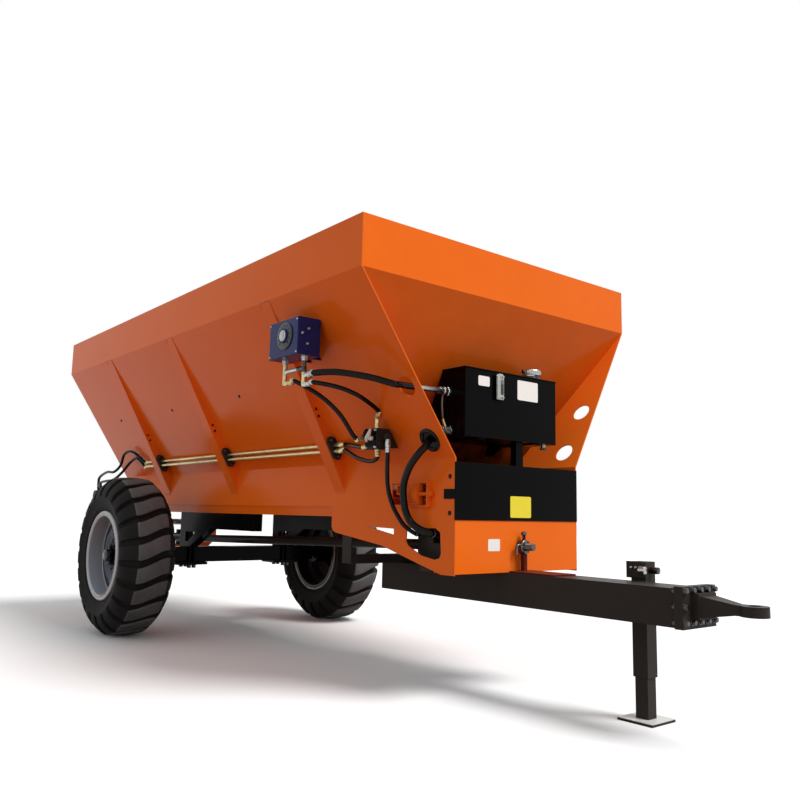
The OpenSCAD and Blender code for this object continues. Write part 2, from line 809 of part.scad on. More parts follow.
cradle_places = [nose_x - 973, nose_x - 268];
cradle_w = 90;
cradle_t = 10;
pump_x = cradle_places[1] - 95;
pump_l = 240;
pump_low_h = 95;
drive_l = 125;
drive_h = 170;
pump_in_y = -170;
pump_out_y = -410;
pump_port_y = pump_out_y - 20;
pump_port_r = 20;
pressure_end = [pump_x + 46, pump_port_y, pump_z + 145];
suction_end = [pump_x + 180, pump_port_y, pump_z + 149];
suction_pipe_y = pump_out_y + 15;
suction_half = pump_port_r + 4;

// Gear pump on the front cradle, its tall drive end to the rear, with its two ports
module pump() {
    color(black) centred() {
        block([pump_x, pump_out_y, pump_z], [pump_x + drive_l, pump_in_y, pump_z + drive_h]);
        block([pump_x, pump_out_y, pump_z], [pump_x + pump_l, pump_in_y, pump_z + pump_low_h]);
        bar_y(pump_port_y, pump_out_y, pressure_end[0], pressure_end[2], pump_port_r);
        bar_x(pump_x + drive_l - 1, suction_end[0], suction_pipe_y, suction_end[2], pump_port_r);
        block([suction_end[0] - suction_half, suction_pipe_y - suction_half, suction_end[2] - suction_half],
              [suction_end[0] + suction_half, suction_pipe_y + suction_half, suction_end[2] + suction_half]);
        bar_y(pump_port_y, suction_pipe_y, suction_end[0], suction_end[2], pump_port_r);
    }
}

// Smooth curve through hand-picked points, by cubic pieces
function curve_at(p, i, t) = let (
        a = p[max(i - 1, 0)], b = p[i], c = p[i + 1], d = p[min(i + 2, len(p) - 1)]
    ) b + 0.5 * t * (c - a + t * (2 * a - 5 * b + 4 * c - d + t * (3 * b - a - 3 * c + d)));
function curve(p, steps) = concat(
    [for (i = [0 : len(p) - 2], k = [0 : steps - 1]) curve_at(p, i, k / steps)],
    [p[len(p) - 1]]
);
function unit(v) = v / norm(v);

hose_sides = 8;

// A tube swept along a curve, its ends square to the fittings
module hose(points, r, up) {
    path = curve(points, 2);
    n = len(path);
    rings = [for (i = [0 : n - 1])
        let (
            along = i == 0 ? unit(points[1] - points[0])
                : i == n - 1 ? unit(points[len(points) - 1] - points[len(points) - 2])
                : unit(path[i + 1] - path[i - 1]),
            u = unit(cross(along, up)),
            v = cross(along, u)
        )
        for (k = [0 : hose_sides - 1])
            path[i] + r * (cos(360 * k / hose_sides) * u + sin(360 * k / hose_sides) * v)
    ];
    quads = [for (i = [0 : n - 2], k = [0 : hose_sides - 1])
        let (a = i * hose_sides + k, b = i * hose_sides + (k + 1) % hose_sides)
        [a, a + hose_sides, b + hose_sides, b]
    ];
    start = [for (k = [0 : hose_sides - 1]) k];
    end = [for (k = [hose_sides - 1 : -1 : 0]) (n - 1) * hose_sides + k];
    triangles = [for (q = quads) each [[q[0], q[1], q[2]], [q[0], q[2], q[3]]]];
    polyhedron(rings, concat([start, end], triangles), convexity = 6);
}

function mix(a, b, t) = a + (b - a) * t;

// Routes, each straight for a lead at its fittings
lead = 45;
return_start = [port_b[0] + port_b_l, port_y, port_b[2]];
return_lead = unit(return_end - [port_x, -tank_w / 2, port_z]) * lead;
return_route = [
    return_start, return_start + [lead, 0, 0], mix(return_start, return_end, 0.4) + [0, -53, 25],
    mix(return_start, return_end, 0.75) + [0, -49, 19], return_end + return_lead, return_end
];
control_start = [port_a[0] + port_a_l, port_y, port_a[2]];
control_end = [inlet_x, inlet_y, inlet_z];
control_route = [
    control_start, control_start + [lead, 0, 0], mix(control_start, control_end, 0.4) + [70, -40, 35],
    mix(control_start, control_end, 0.7) + [50, -40, 30], control_end + [0, -lead, 0], control_end
];
feed_start = [port_b[0] + port_b_l, port_y, port_b[2] - port_drop];
feed_end = [feed_x, feed_y, feed_z];
feed_route = [
    feed_start, feed_start + [lead, 0, 0], mix(feed_start, feed_end, 0.35) + [75, -25, 35],
    mix(feed_start, feed_end, 0.7) + [60, -35, 55], feed_end + [0, 0, lead], feed_end
];
drop_start = [drop_x, valve_y, outlet_z];
drop_route = [
    drop_start, drop_start + [0, 0, -lead], [drop_x - 19, -half_trough - 149, bend_z - 44],
    [drop_x - 52, -half_trough - 119, bend_z - 123], [drop_x - 68, -half_trough - 91, bend_z - 187],
    [drop_x - 63, -half_trough - 71, bend_z - 244], [drop_x - 36, -half_trough - 55, bend_z - 300],
    pressure_end + [-31, -90, 38], pressure_end + [0, -lead, 0], pressure_end
];
suction_start = [port_x + 20, -tank_w / 2 - tank_port_l, suction_z];
suction_hole = [suction_hole_x, wall_y(suction_hole_z), suction_hole_z];
suction_route = [
    suction_start, suction_start + [0, -lead, 0],
    suction_hole + [-7, 15, 18], suction_hole + [2, -35, -37], suction_hole + [-13, -64, -74],
    [suction_hole_x - 76, -half_trough - 125, bend_z - 40],
    [suction_hole_x - 135, -half_trough - 111, bend_z - 109],
    [suction_hole_x - 164, -half_trough - 96, bend_z - 164],
    [suction_hole_x - 173, -half_trough - 83, bend_z - 227],
    [suction_hole_x - 165, -half_trough - 72, bend_z - 283],
    [suction_hole_x - 138, -half_trough - 57, bend_z - 334],
    suction_end + [-39, -84, 16],
    suction_end + [0, -lead, 0], suction_end
];
joint_starts = [for (z = pipe_heights) [pipe_front_x, pipe_y, z]];
joint_ends = [[valve_x + valve_w / 2, valve_y, valve_z], [inlet_x, valve_y, outlet_z]];
pipe_joints = [
    [
        joint_starts[0], joint_starts[0] + [lead, 0, 0],
        mix(joint_starts[0], joint_ends[0], 0.45) + [0, 0, -40],
        mix(joint_starts[0], joint_ends[0], 0.8) + [0, 0, -62],
        joint_ends[0] + [0, 0, -lead], joint_ends[0]
    ],
    [
        joint_starts[1], joint_starts[1] + [lead, 0, 0], mix(joint_starts[1], joint_ends[1], 0.5),
        joint_ends[1] + [-lead, 0, 0], joint_ends[1]
    ]
];

module hoses_front() {
    up = [0.2, 0.3, 1];
    across = [0.3, 1, 0.2];
    color(rubber) centred() {
        hose(return_route, return_hose_r, up);
        hose(control_route, hose_r, across);
        hose(feed_route, hose_r, across);
        hose(drop_route, hose_r, across);
        hose(suction_route, suction_hose_r, [1, 0.2, 0.3]);
        for (route = pipe_joints)
            hose(route, hose_r, up);
    }
}

// Routes of the rear pair: a loop over the wheel, then along it to the motor
function rear_point(x, z, off) = [x, wall_y(z) - off, z];
rear_routes = [for (i = [0, 1])
    let (
        x = pipe_back_x,
        z = pipe_heights[i],
        port = [drive_x + 25 - 50 * i, -motor_end_y + 40, conveyor_z + 80]
    )
    [[x, pipe_y, z], [x - lead, pipe_y, z], rear_point(x - 140 - 20 * i, z + 70 + 20 * i, 38),
     rear_point(x - 250 - 40 * i, z + 45 + 35 * i, 70), [x - 330 - 45 * i, pipe_y - 92, z - 50 + 30 * i],
     [x - 470, pipe_y - 112, z - 110 + 35 * i], [x - 620, pipe_y - 122, z - 120 + 45 * i],
     port + [0, 0, 40 + 45 * i], port]
];

module hoses_rear() {
    color(rubber) centred() for (route = rear_routes)
        hose(route, hose_r, [0.2, 1, 0.1]);
}

// Chassis

flange_t = 20;
flange_over = 34;

// One of the two plates bolted together at the drawbar's front end
module flange_plate(x) {
    block([x, -bar_w / 2 - flange_over, bar_z], [x + flange_t, bar_w / 2 + flange_over, bar_top + 12]);
}

module drawbar() {
    color(dark_steel) centred() {
        difference() {
            block([bar_rear_x, -bar_w / 2, bar_z], [bar_front_x, bar_w / 2, bar_top]);
            block([bar_rear_x - 1, -bar_w / 2 + bar_t, bar_z + bar_t],
                  [bar_front_x + 1, bar_w / 2 - bar_t, bar_top - bar_t]);
        }
        flange_plate(bar_front_x);
    }
}

// Cradles between the side plates that carry the drawbar
module drawbar_mounts() {
    color(dark_steel) centred() {
        for (x = cradle_places)
            block([x, -trough_in, bar_top], [x + cradle_w, trough_in, bar_top + cradle_h]);
        for (side = [right, left])
            block([cradle_places[0], side * (trough_in - cradle_t / 2) - cradle_t / 2, bar_top + cradle_h],
                  [cradle_places[0] + cradle_w, side * (trough_in - cradle_t / 2) + cradle_t / 2, sill_z]);
    }
}

eye_z = bar_z + 95;
shank_x = bar_front_x + 2 * flange_t;
shank_l = 40;
neck_x = eye_x - eye_od / 2 - 10;
neck_w = 68;

// Bolted flange with its tapered shank and ring
module hitch_eye() {
    color(dark_steel) centred() {
        flange_plate(bar_front_x + flange_t);
        block([shank_x, -70, eye_z - 55], [shank_x + shank_l, 70, eye_z + 55]);
        difference() {
            union() {
                hull() {
                    block([shank_x + shank_l - 1, -60, eye_z - 45], [shank_x + shank_l, 60, eye_z + 45]);
                    block([neck_x, -neck_w / 2, eye_z - eye_t / 2],
                          [neck_x + 1, neck_w / 2, eye_z + eye_t / 2]);
                }
                block([neck_x, -neck_w / 2, eye_z - eye_t / 2], [eye_x - 40, neck_w / 2, eye_z + eye_t / 2]);
                bar_z(eye_z - eye_t / 2, eye_z + eye_t / 2, eye_x, 0, eye_od / 2);
            }
            bar_z(eye_z - eye_t, eye_z + eye_t, eye_x, 0, eye_bore / 2);
        }
    }
}

jack_y = bar_w / 2 + 12 + jack_sq / 2;
jack_wall = 6;
head_t = 8;
leg_sq = jack_sq - 2 * jack_wall - 2 * seat_gap;
foot_l = 190;
foot_t = 10;

module jack_tube() {
    color(dark_steel) centred() {
        difference() {
            block([jack_x - jack_sq / 2, jack_y - jack_sq / 2, jack_low_z],
                  [jack_x + jack_sq / 2, jack_y + jack_sq / 2, jack_top_z]);
            block([jack_x - jack_sq / 2 + jack_wall, jack_y - jack_sq / 2 + jack_wall, jack_low_z - 1],
                  [jack_x + jack_sq / 2 - jack_wall, jack_y + jack_sq / 2 - jack_wall, jack_top_z - 8]);
        }
        // Clamp plate on the drawbar
        block([jack_x - 60, bar_w / 2, bar_z + 10], [jack_x + 60, jack_y - jack_sq / 2, bar_top - 10]);
        // Head plate with its holes
        difference() {
            block([jack_x - 62, jack_y - jack_sq / 2 - head_t, bar_top + 13],
                  [jack_x + 46, jack_y - jack_sq / 2, jack_top_z]);
            for (x = [jack_x - 34, jack_x - 8])
                bar_y(0, jack_y, x, jack_top_z - 28, bolt_hole_r);
        }
        // Crank stub
        bar_x(jack_x + jack_sq / 2, jack_x + jack_sq / 2 + 45, jack_y, jack_top_z - 40, 16);
    }
}

module jack_leg() {
    leg_top = jack_top_z - 8 - jack_travel - 15;
    color(dark_steel) centred() {
        difference() {
            block([jack_x - leg_sq / 2, jack_y - leg_sq / 2, foot_t],
                  [jack_x + leg_sq / 2, jack_y + leg_sq / 2, leg_top]);
            block([jack_x - leg_sq / 2 + 5, jack_y - leg_sq / 2 + 5, foot_t + 5],
                  [jack_x + leg_sq / 2 - 5, jack_y + leg_sq / 2 - 5, leg_top + 1]);
        }
        block([jack_x - foot_l / 2, jack_y - foot_l / 2, 0],
              [jack_x + foot_l / 2, jack_y + foot_l / 2, foot_t]);
    }
}

beam_half = wheel_y - 225;
spindle_end = wheel_y + 95;

module axle() {
    color(black) centred() {
        block([-axle_sq / 2, -beam_half, axle_z - axle_sq / 2],
              [axle_sq / 2, beam_half, axle_z + axle_sq / 2]);
        for (side = [right, left])
            bar_y(side == left ? beam_half : -spindle_end, side == left ? spindle_end : -beam_half,
                  0, axle_z, spindle_r);
    }
}

seat_y = 430;
rail_half = 35;
rail_low_z = sill_z - 120;
rail_back_x = -90;
rail_front_x = 1105;
web_t = 10;

// Rails under the sills with gussets down to the axle, clamped by bolts
module axle_seats() {
    beam_top = axle_z + axle_sq / 2;
    beam_low = axle_z - axle_sq / 2;
    color(black) for (side = [right, left]) on_side(side) {
        block([rail_back_x, -seat_y - rail_half, rail_low_z], [rail_front_x, -seat_y + rail_half, sill_z]);
        for (y = [-seat_y - rail_half, -seat_y + rail_half - web_t]) side_view(y, y + web_t) difference() {
            polygon([[-90, beam_top], [90, beam_top], [420, rail_low_z], [rail_back_x, rail_low_z]]);
            polygon([
                [10, beam_top + 45], [70, beam_top + 45], [190, rail_low_z - 30], [10, rail_low_z - 30]
            ]);
        }
        // Clamp plate and bolts
        block([-100, -seat_y - 125, beam_low - 20], [100, -seat_y + 125, beam_low]);
        for (x = [-axle_sq / 2 - 14, axle_sq / 2 + 14], y = [-seat_y - 20, -seat_y + 20])
            bar_z(beam_low, rail_low_z, x, y, 12);
    }
}

// Wheels

// Across the tyre: place, radius on a lug and how deep the groove is there
half_tread = [[0, 1, 1], [126, 0.988, 1], [158, 0.923, 0.85], [192, 0.83, 0.5], [202, 0.765, 0]];
// Half the width of the flat tread, and how far a lug runs ahead across it in parts of its pitch
flat_half = 126;
slant = 0.22;

function tyre_rows() = let (
        w = tyre_w / 404, n = len(half_tread), flat = cos(lug_share * lug_pitch / 2)
    ) concat(
    [[-165 * w, (flange_r + 3) / flat, 0], [-150 * w, (bead_r + seat_gap) / flat, 0],
     [150 * w, (bead_r + seat_gap) / flat, 0], [165 * w, (flange_r + 3) / flat, 0]],
    [for (i = [n - 1 : -1 : 1], t = [half_tread[i]]) [t[0] * w, t[1] * tyre_r, t[2] * lug_depth]],
    [for (t = half_tread) [-t[0] * w, t[1] * tyre_r, t[2] * lug_depth]]
);

// Lug start, lug end, groove start, groove end in parts of one lug pitch
steps = [-lug_share / 2, lug_share / 2, lug_share / 2 + 0.07, 0.93 - lug_share / 2];
on_lug = [1, 1, 0, 0];

module tyre_shape() {
    rows = tyre_rows();
    n = len(rows);
    count = lug_count * 4;
    points = [for (k = [0 : count - 1], row = rows)
        let (
            ahead = row[1] < flange_r + 20 ? 0 : slant * max(-1, min(1, row[0] / flat_half)),
            a = (floor(k / 4) + steps[k % 4] + ahead) * lug_pitch,
            r = row[1] - (1 - on_lug[k % 4]) * row[2]
        )
        [r * sin(a), row[0], -r * cos(a)]
    ];
    faces = [for (k = [0 : count - 1], i = [0 : n - 1])
        let (
            k2 = (k + 1) % count, i2 = (i + 1) % n,
            a = k * n + i, b = k * n + i2, c = k2 * n + i2, d = k2 * n + i
        )
        each [[a, b, c], [a, c, d]]
    ];
    polyhedron(points, faces, convexity = 10);
}

// Both tyres have lugs of the same hand
module tyre(side) {
    color(rubber) centred() translate([0, side * wheel_y, axle_z]) tyre_shape();
}
module tyre_right() {
    tyre(right);
}
module tyre_left() {
    tyre(left);
}

rim_half = 172;
flange_r = bead_r + 25;
disc_in = 55;
hub_r = 78;
wheel_disc_t = 12;

// Revolved about the axle: Y of the outline runs outward from the wheel's middle
module about_axle(side) {
    on_side(side) translate([0, -wheel_y, axle_z]) rotate([90, 0, 0]) rotate_extrude() children();
}

module rim(side) {
    color(silver) about_axle(side) {
        polygon([
            [bead_r - 14, -rim_half], [flange_r, -rim_half], [flange_r, -rim_half + 8],
            [bead_r, -rim_half + 20], [bead_r, -60], [bead_r - 40, -40], [bead_r - 40, 40], [bead_r, 60],
            [bead_r, rim_half - 20], [flange_r, rim_half - 8], [flange_r, rim_half], [bead_r - 14, rim_half],
            [bead_r - 14, 66], [bead_r - 54, 46], [bead_r - 54, disc_in + wheel_disc_t - 20],
            [190, disc_in + wheel_disc_t + 25], [hub_r + 62, disc_in + wheel_disc_t],
            [hub_r + seat_gap, disc_in + wheel_disc_t], [hub_r + seat_gap, disc_in],
            [hub_r + 62, disc_in], [186, disc_in + 20], [bead_r - 54, disc_in - 36],
            [bead_r - 54, -46], [bead_r - 14, -66]
        ]);
    }
}
module rim_right() {
    rim(right);
}
module rim_left() {
    rim(left);
}

hub_back = -180;

module hub(side) {
    color(black) about_axle(side) polygon([
        [spindle_r + run_gap, hub_back], [hub_r + 10, hub_back], [hub_r + 10, disc_in - 50],
        [hub_r + 60, disc_in - 26], [hub_r + 60, disc_in], [hub_r, disc_in], [hub_r, disc_in + 30],
        [hub_r - 16, disc_in + 50], [hub_r - 20, disc_in + 70], [0, disc_in + 74],
        [0, disc_in + 58], [spindle_r + run_gap, disc_in + 58]
    ]);
}
module hub_right() {
    hub(right);
}
module hub_left() {
    hub(left);
}

// Driveline and spinners

tube_back_x = spinner_x + 150;
journal_r = pto_r + 2.5;
stub_tip = 97;
bearing_start = 14;
bearing_end = 44;

// Puts a piece on the sloping driveline, with X along it from the nose
module on_driveline() {
    centred() translate([nose_x, 0, pto_z]) rotate([0, -drive_dip, 0]) children();
}

module driveline() {
    color(steel) on_driveline() {
        bar_x(-40, bearing_end, 0, 0, journal_r);
        bar_x(bearing_end, stub_tip, 0, 0, pto_r);
        bar_x(-260, -40, 0, 0, tube_r + 18);
        bar_x(tube_back_x - nose_x, -260, 0, 0, tube_r);
        bar_x(tube_back_x - nose_x - 90, tube_back_x - nose_x, 0, 0, journal_r);
    }
}

post_w = 26;
base_t = 8;
base_l = 300;

// Bearing of the stub on its post, and the plate under it on the drawbar
module pto_support() {
    post_x = nose_x + (bearing_start + bearing_end) / 2;
    color(red_brown) difference() {
        union() {
            on_driveline() bar_x(bearing_start, bearing_end, 0, 0, 36);
            centred() block([post_x - 11, -post_w / 2, bar_top], [post_x + 11, post_w / 2, pto_z - 20]);
            centred() block([nose_x + 6, -bar_w / 2 + 10, bar_top],
                            [nose_x + base_l, bar_w / 2 - 10, bar_top + base_t]);
            centred() bar_z(pto_z + 30, pto_z + 62, post_x, 0, 9);
        }
        on_driveline() bar_x(0, 60, 0, 0, journal_r + run_gap);
    }
}

gear_z = drive_z(spinner_x);
gear_half = 75;
disc_z = gear_z + 130;
spigot_r = 25;

// Right-angle gear housings joined by a cross tube, with an upright shaft for each disc
module gearbox() {
    color(dark_steel) difference() {
        union() {
            centred() {
                block([spinner_x - gear_half, -gear_half, gear_z - gear_half],
                      [spinner_x + gear_half, gear_half, gear_z + gear_half]);
                bar_y(-spinner_y, spinner_y, spinner_x, gear_z, 42);
                for (y = [-spinner_y, spinner_y]) {
                    bar_z(gear_z - gear_half, gear_z + gear_half, spinner_x, y, gear_half);
                    bar_z(gear_z + gear_half, disc_z + vane_h, spinner_x, y, spigot_r);
                }
            }
            on_driveline() bar_x(tube_back_x - nose_x - 80, tube_back_x - nose_x - 10, 0, 0, 50);
        }
        on_driveline() bar_x(tube_back_x - nose_x - 95, tube_back_x - nose_x, 0, 0, journal_r + run_gap);
    }
}

arm_t = 10;
beam_sq = 80;

// Arms down from the tail of the side plates and the beam under the gear housings
module spinner_frame() {
    beam_top = gear_z - gear_half;
    color(orange) {
        for (side = [right, left]) on_side(side)
            side_view(-trough_in, -trough_in + arm_t) polygon([
                [tail_x + 10, sill_z + 68], [tail_x + 140, sill_z + 68], [tail_x + 140, sill_z - 260],
                [spinner_x + 180, beam_top - beam_sq], [spinner_x - 60, beam_top - beam_sq],
                [spinner_x - 60, beam_top + 10], [tail_x - 40, beam_top + 70], [tail_x + 10, sill_z - 180]
            ]);
        centred() difference() {
            block([spinner_x - beam_sq / 2, -trough_in, beam_top - beam_sq],
                  [spinner_x + beam_sq / 2, trough_in, beam_top]);
            block([spinner_x - beam_sq / 2 + 6, -trough_in + arm_t, beam_top - beam_sq + 6],
                  [spinner_x + beam_sq / 2 - 6, trough_in - arm_t, beam_top - 6]);
        }
    }
}

module spinner(side) {
    color(steel) on_side(side) translate([spinner_x, -spinner_y, disc_z]) difference() {
        union() {
            cylinder(h = disc_t, r = disc_r);
            cylinder(h = vane_h, r = 55);
            for (i = [0 : vane_count - 1]) rotate(i * 360 / vane_count) {
                block([40, -4, disc_t], [disc_r - 8, 4, vane_h]);
                block([70, -30, disc_t], [disc_r - 20, -4, disc_t + 6]);
            }
        }
        translate([0, 0, -1]) cylinder(h = vane_h + 2, r = spigot_r + run_gap);
    }
}
module spinner_right() {
    spinner(right);
}
module spinner_left() {
    spinner(left);
}

hopper_side_right();
hopper_side_left();
hopper_front();
hopper_rear();
ribs_right();
ribs_left();
sills();
conveyor_floor();
slat_chain();
idler_shaft();
take_ups();
drive_shaft();
conveyor_motor();
gate();
gate_guides();
gate_cylinder();
front_box();
front_cover();
oil_tank();
tank_fittings();
tank_bracket();
flow_control();
valve_block();
steel_pipes();
pipe_clamps();
hoses_front();
hoses_rear();
pump();
drawbar();
drawbar_mounts();
hitch_eye();
jack_tube();
jack_leg();
axle();
axle_seats();
tyre_right();
tyre_left();
rim_right();
rim_left();
hub_right();
hub_left();
driveline();
pto_support();
gearbox();
spinner_frame();
spinner_right();
spinner_left();
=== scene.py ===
# %% [markdown]
# # A towed manure spreader, finished in Blender
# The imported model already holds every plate, shaft and wheel at its real size. This lesson dresses it:
# each finish is built from what the real surface is, and the small things that a welder or fitter adds,
# such as beads, nuts, ferrules and dials, are made as meshes that sit on the plates they belong to.
# Lengths are metres. X runs forward to the hitch, Y to the machine's left, Z up from the ground.

import json
import math

import bpy
from mathutils import Matrix, Vector


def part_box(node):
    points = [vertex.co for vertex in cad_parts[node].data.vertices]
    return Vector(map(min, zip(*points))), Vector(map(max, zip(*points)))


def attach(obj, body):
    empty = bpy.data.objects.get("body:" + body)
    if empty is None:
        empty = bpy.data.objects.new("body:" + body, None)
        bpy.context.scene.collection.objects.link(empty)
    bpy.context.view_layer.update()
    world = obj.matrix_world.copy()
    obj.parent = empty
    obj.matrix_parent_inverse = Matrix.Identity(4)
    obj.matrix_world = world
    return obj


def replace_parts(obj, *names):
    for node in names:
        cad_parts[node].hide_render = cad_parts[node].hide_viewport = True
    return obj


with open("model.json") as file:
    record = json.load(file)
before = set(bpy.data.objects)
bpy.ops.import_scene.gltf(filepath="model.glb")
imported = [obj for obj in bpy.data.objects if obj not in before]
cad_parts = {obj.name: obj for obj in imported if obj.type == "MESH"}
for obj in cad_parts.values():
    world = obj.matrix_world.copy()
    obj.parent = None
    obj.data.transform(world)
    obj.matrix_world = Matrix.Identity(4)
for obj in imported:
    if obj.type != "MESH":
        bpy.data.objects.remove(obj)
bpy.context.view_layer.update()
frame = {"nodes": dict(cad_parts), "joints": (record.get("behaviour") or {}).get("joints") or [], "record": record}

# %% [markdown]
# Places on the machine are easiest to read from the axle, in millimetres, as they stand on a shop drawing.
# The wheels' joints say where the axle is, so one function turns such a place into the model's metres.
# The six directions have names too, because nearly every fitting stands along one of them.

# %% Places and directions
joints = {joint["name"]: joint for joint in frame["joints"]}
AXLE = Vector(joints["wheel_right"]["pos_m"])
MM = 0.001
AHEAD, BACK = Vector((1, 0, 0)), Vector((-1, 0, 0))
TO_LEFT, TO_RIGHT = Vector((0, 1, 0)), Vector((0, -1, 0))
UP, DOWN = Vector((0, 0, 1)), Vector((0, 0, -1))


def at(x, y, z):
    """A place in millimetres from the axle, the middle plane and the ground."""
    return Vector((AXLE.x + x * MM, y * MM, z * MM))


print("axle at x", round(AXLE.x, 3), "and height", round(AXLE.z, 3))

# %% [markdown]
# ## Camera
# The camera stands in front of the machine's right side, a little lower than the conveyor, so the slanted
# wall is seen from below. A camera's own axes are right, up and backward, so its matrix is built from those
# three directions. A lens of about 36 mm on a 36 mm sensor is what the picture's perspective asks for.

# %% Camera
CAMERA_PLACE = at(6118.7, -3258.0, 944.1)
CAMERA_YAW, CAMERA_PITCH, CAMERA_ROLL = (math.radians(v) for v in (140.758, 8.092, 1.194))
FOCAL_PIXELS = 796.8
PICTURE_PIXELS = 800

forward = Vector((math.cos(CAMERA_YAW) * math.cos(CAMERA_PITCH),
                  math.sin(CAMERA_YAW) * math.cos(CAMERA_PITCH), math.sin(CAMERA_PITCH)))
level_right = Vector((math.sin(CAMERA_YAW), -math.cos(CAMERA_YAW), 0))
level_up = level_right.cross(forward)
camera_right = level_right * math.cos(CAMERA_ROLL) + level_up * math.sin(CAMERA_ROLL)
camera_up = level_up * math.cos(CAMERA_ROLL) - level_right * math.sin(CAMERA_ROLL)

camera = bpy.data.objects.new("camera", bpy.data.cameras.new("camera"))
bpy.context.scene.collection.objects.link(camera)
camera.data.sensor_width = 36
camera.data.lens = camera.data.sensor_width * FOCAL_PIXELS / PICTURE_PIXELS
camera_axes = Matrix((camera_right, camera_up, -forward)).transposed().to_4x4()
camera.matrix_world = Matrix.Translation(CAMERA_PLACE) @ camera_axes
bpy.context.scene.camera = camera
print("camera lens", round(camera.data.lens, 2), "mm")

# %% [markdown]
# ## Colours and nodes
# Colours are written as sRGB hex values, the way a colour picker shows them, and shaders work in linear
# light, so one function converts them. A second small function adds a node, sets it and links it, which
# keeps each material short enough to read as a recipe.

# %% Helpers for materials


def linear(hex_colour):
    """An sRGB hex colour as linear red, green, blue and alpha."""
    parts = [int(hex_colour[i:i + 2], 16) / 255 for i in (1, 3, 5)]
    return tuple(c / 12.92 if c <= 0.04045 else ((c + 0.055) / 1.055) ** 2.4 for c in parts) + (1.0,)


def add(tree, kind, links=None, **settings):
    """A node with its settings; links sets each named or numbered input to a value or an output."""
    made = tree.nodes.new("ShaderNode" + kind)
    for name, value in settings.items():
        setattr(made, name, value)
    for socket, value in (links or {}).items():
        if isinstance(value, bpy.types.NodeSocket):
            tree.links.new(value, made.inputs[socket])
        else:
            made.inputs[socket].default_value = value
    return made


def new_material(name):
    """An empty material with its tree, its shader and the place that patterns are drawn by."""
    material = bpy.data.materials.new(name)
    material.use_nodes = True
    tree = material.node_tree
    return material, tree, tree.nodes["Principled BSDF"], add(tree, "TexCoord").outputs["Object"]


def per_metre(size_mm):
    """The noise scale whose blotches are about that many millimetres across."""
    return 1000 / size_mm


print("middle grey in linear light:", round(linear("#808080")[0], 3))

# %% [markdown]
# ## Stage and light
# The machine stands on a pale floor under an even sky with one broad soft key light from the front, so the
# front panels are bright and the slanted wall turns towards shade. The camera and glossy surfaces see the
# floor and the world as white; the light that the floor throws back is that of dry, warm earth, so the sheets
# that face down stay dark and warm. The floor keeps the shadow.

# %% Floor, world and key light
FLOOR_SIZE = 60
SKY_STRENGTH, KEY_STRENGTH, KEY_SPREAD = 0.62, 2.7, math.radians(24)
KEY_FROM = Vector((0.54, 0.22, 0.81))


def seen_directly(tree):
    """One for rays from the camera, gloss or glass, nought for the light between surfaces."""
    rays = add(tree, "LightPath").outputs
    seen = rays["Is Camera Ray"]
    for kind in ("Is Glossy Ray", "Is Transmission Ray"):
        seen = add(tree, "Math", {0: seen, 1: rays[kind]}, operation="MAXIMUM").outputs[0]
    return seen


floor_mesh = bpy.data.meshes.new("floor")
half = FLOOR_SIZE / 2
floor_mesh.from_pydata([(-half, -half, 0), (half, -half, 0), (half, half, 0), (-half, half, 0)], [],
                       [(0, 1, 2, 3)])
floor = bpy.data.objects.new("floor", floor_mesh)
bpy.context.scene.collection.objects.link(floor)

floor_paint, tree, shader, place = new_material("white studio floor")
shader.inputs["Roughness"].default_value = 0.9
shader.inputs["Specular IOR Level"].default_value = 0.1
shown = add(tree, "Mix", {0: seen_directly(tree), 6: linear("#97796C"), 7: linear("#FBFBFA")},
            data_type="RGBA")
tree.links.new(shown.outputs[2], shader.inputs["Base Color"])
floor_mesh.materials.append(floor_paint)

world = bpy.data.worlds.new("studio")
bpy.context.scene.world = world
world.use_nodes = True
tree = world.node_tree
sky = tree.nodes["Background"]
sky.inputs["Color"].default_value = linear("#F4F7FA")
sky.inputs["Strength"].default_value = SKY_STRENGTH
white = add(tree, "Background", {"Color": linear("#FFFFFF"), "Strength": 1.0})
mixed = add(tree, "MixShader", {0: seen_directly(tree), 1: sky.outputs[0], 2: white.outputs[0]})
tree.links.new(mixed.outputs[0], tree.nodes["World Output"].inputs["Surface"])

key = bpy.data.objects.new("key light", bpy.data.lights.new("key light", "SUN"))
key.data.energy = KEY_STRENGTH
key.data.angle = KEY_SPREAD
key.rotation_mode = "QUATERNION"
key.rotation_quaternion = KEY_FROM.to_track_quat("Z", "Y")
bpy.context.scene.collection.objects.link(key)
bpy.context.scene.view_settings.view_transform = "Standard"
print("floor", FLOOR_SIZE, "m, key light", round(key.data.energy, 2))

# %% [markdown]
# ## Painted steel
# Sheet machines like this are shot-blasted and sprayed with one thick coat of enamel. The eye sees a clear
# gloss over a strong colour, a slight orange-peel ripple, sheets that are never quite flat, thin dust
# where surfaces face up, and paint rubbed thin along edges. One recipe makes every paint on the machine,
# with its colours and roughness changed. The real peel is about 3 mm; it is drawn at 14 mm so that it shows.

# %% Painted steel
CLOUD_MM, SPECK_MM, DENT_MM, PEEL_MM = 420, 24, 520, 14
EDGE_RADIUS, DENT_DEPTH, PEEL_DEPTH = 4 * MM, 6 * MM, 0.4 * MM


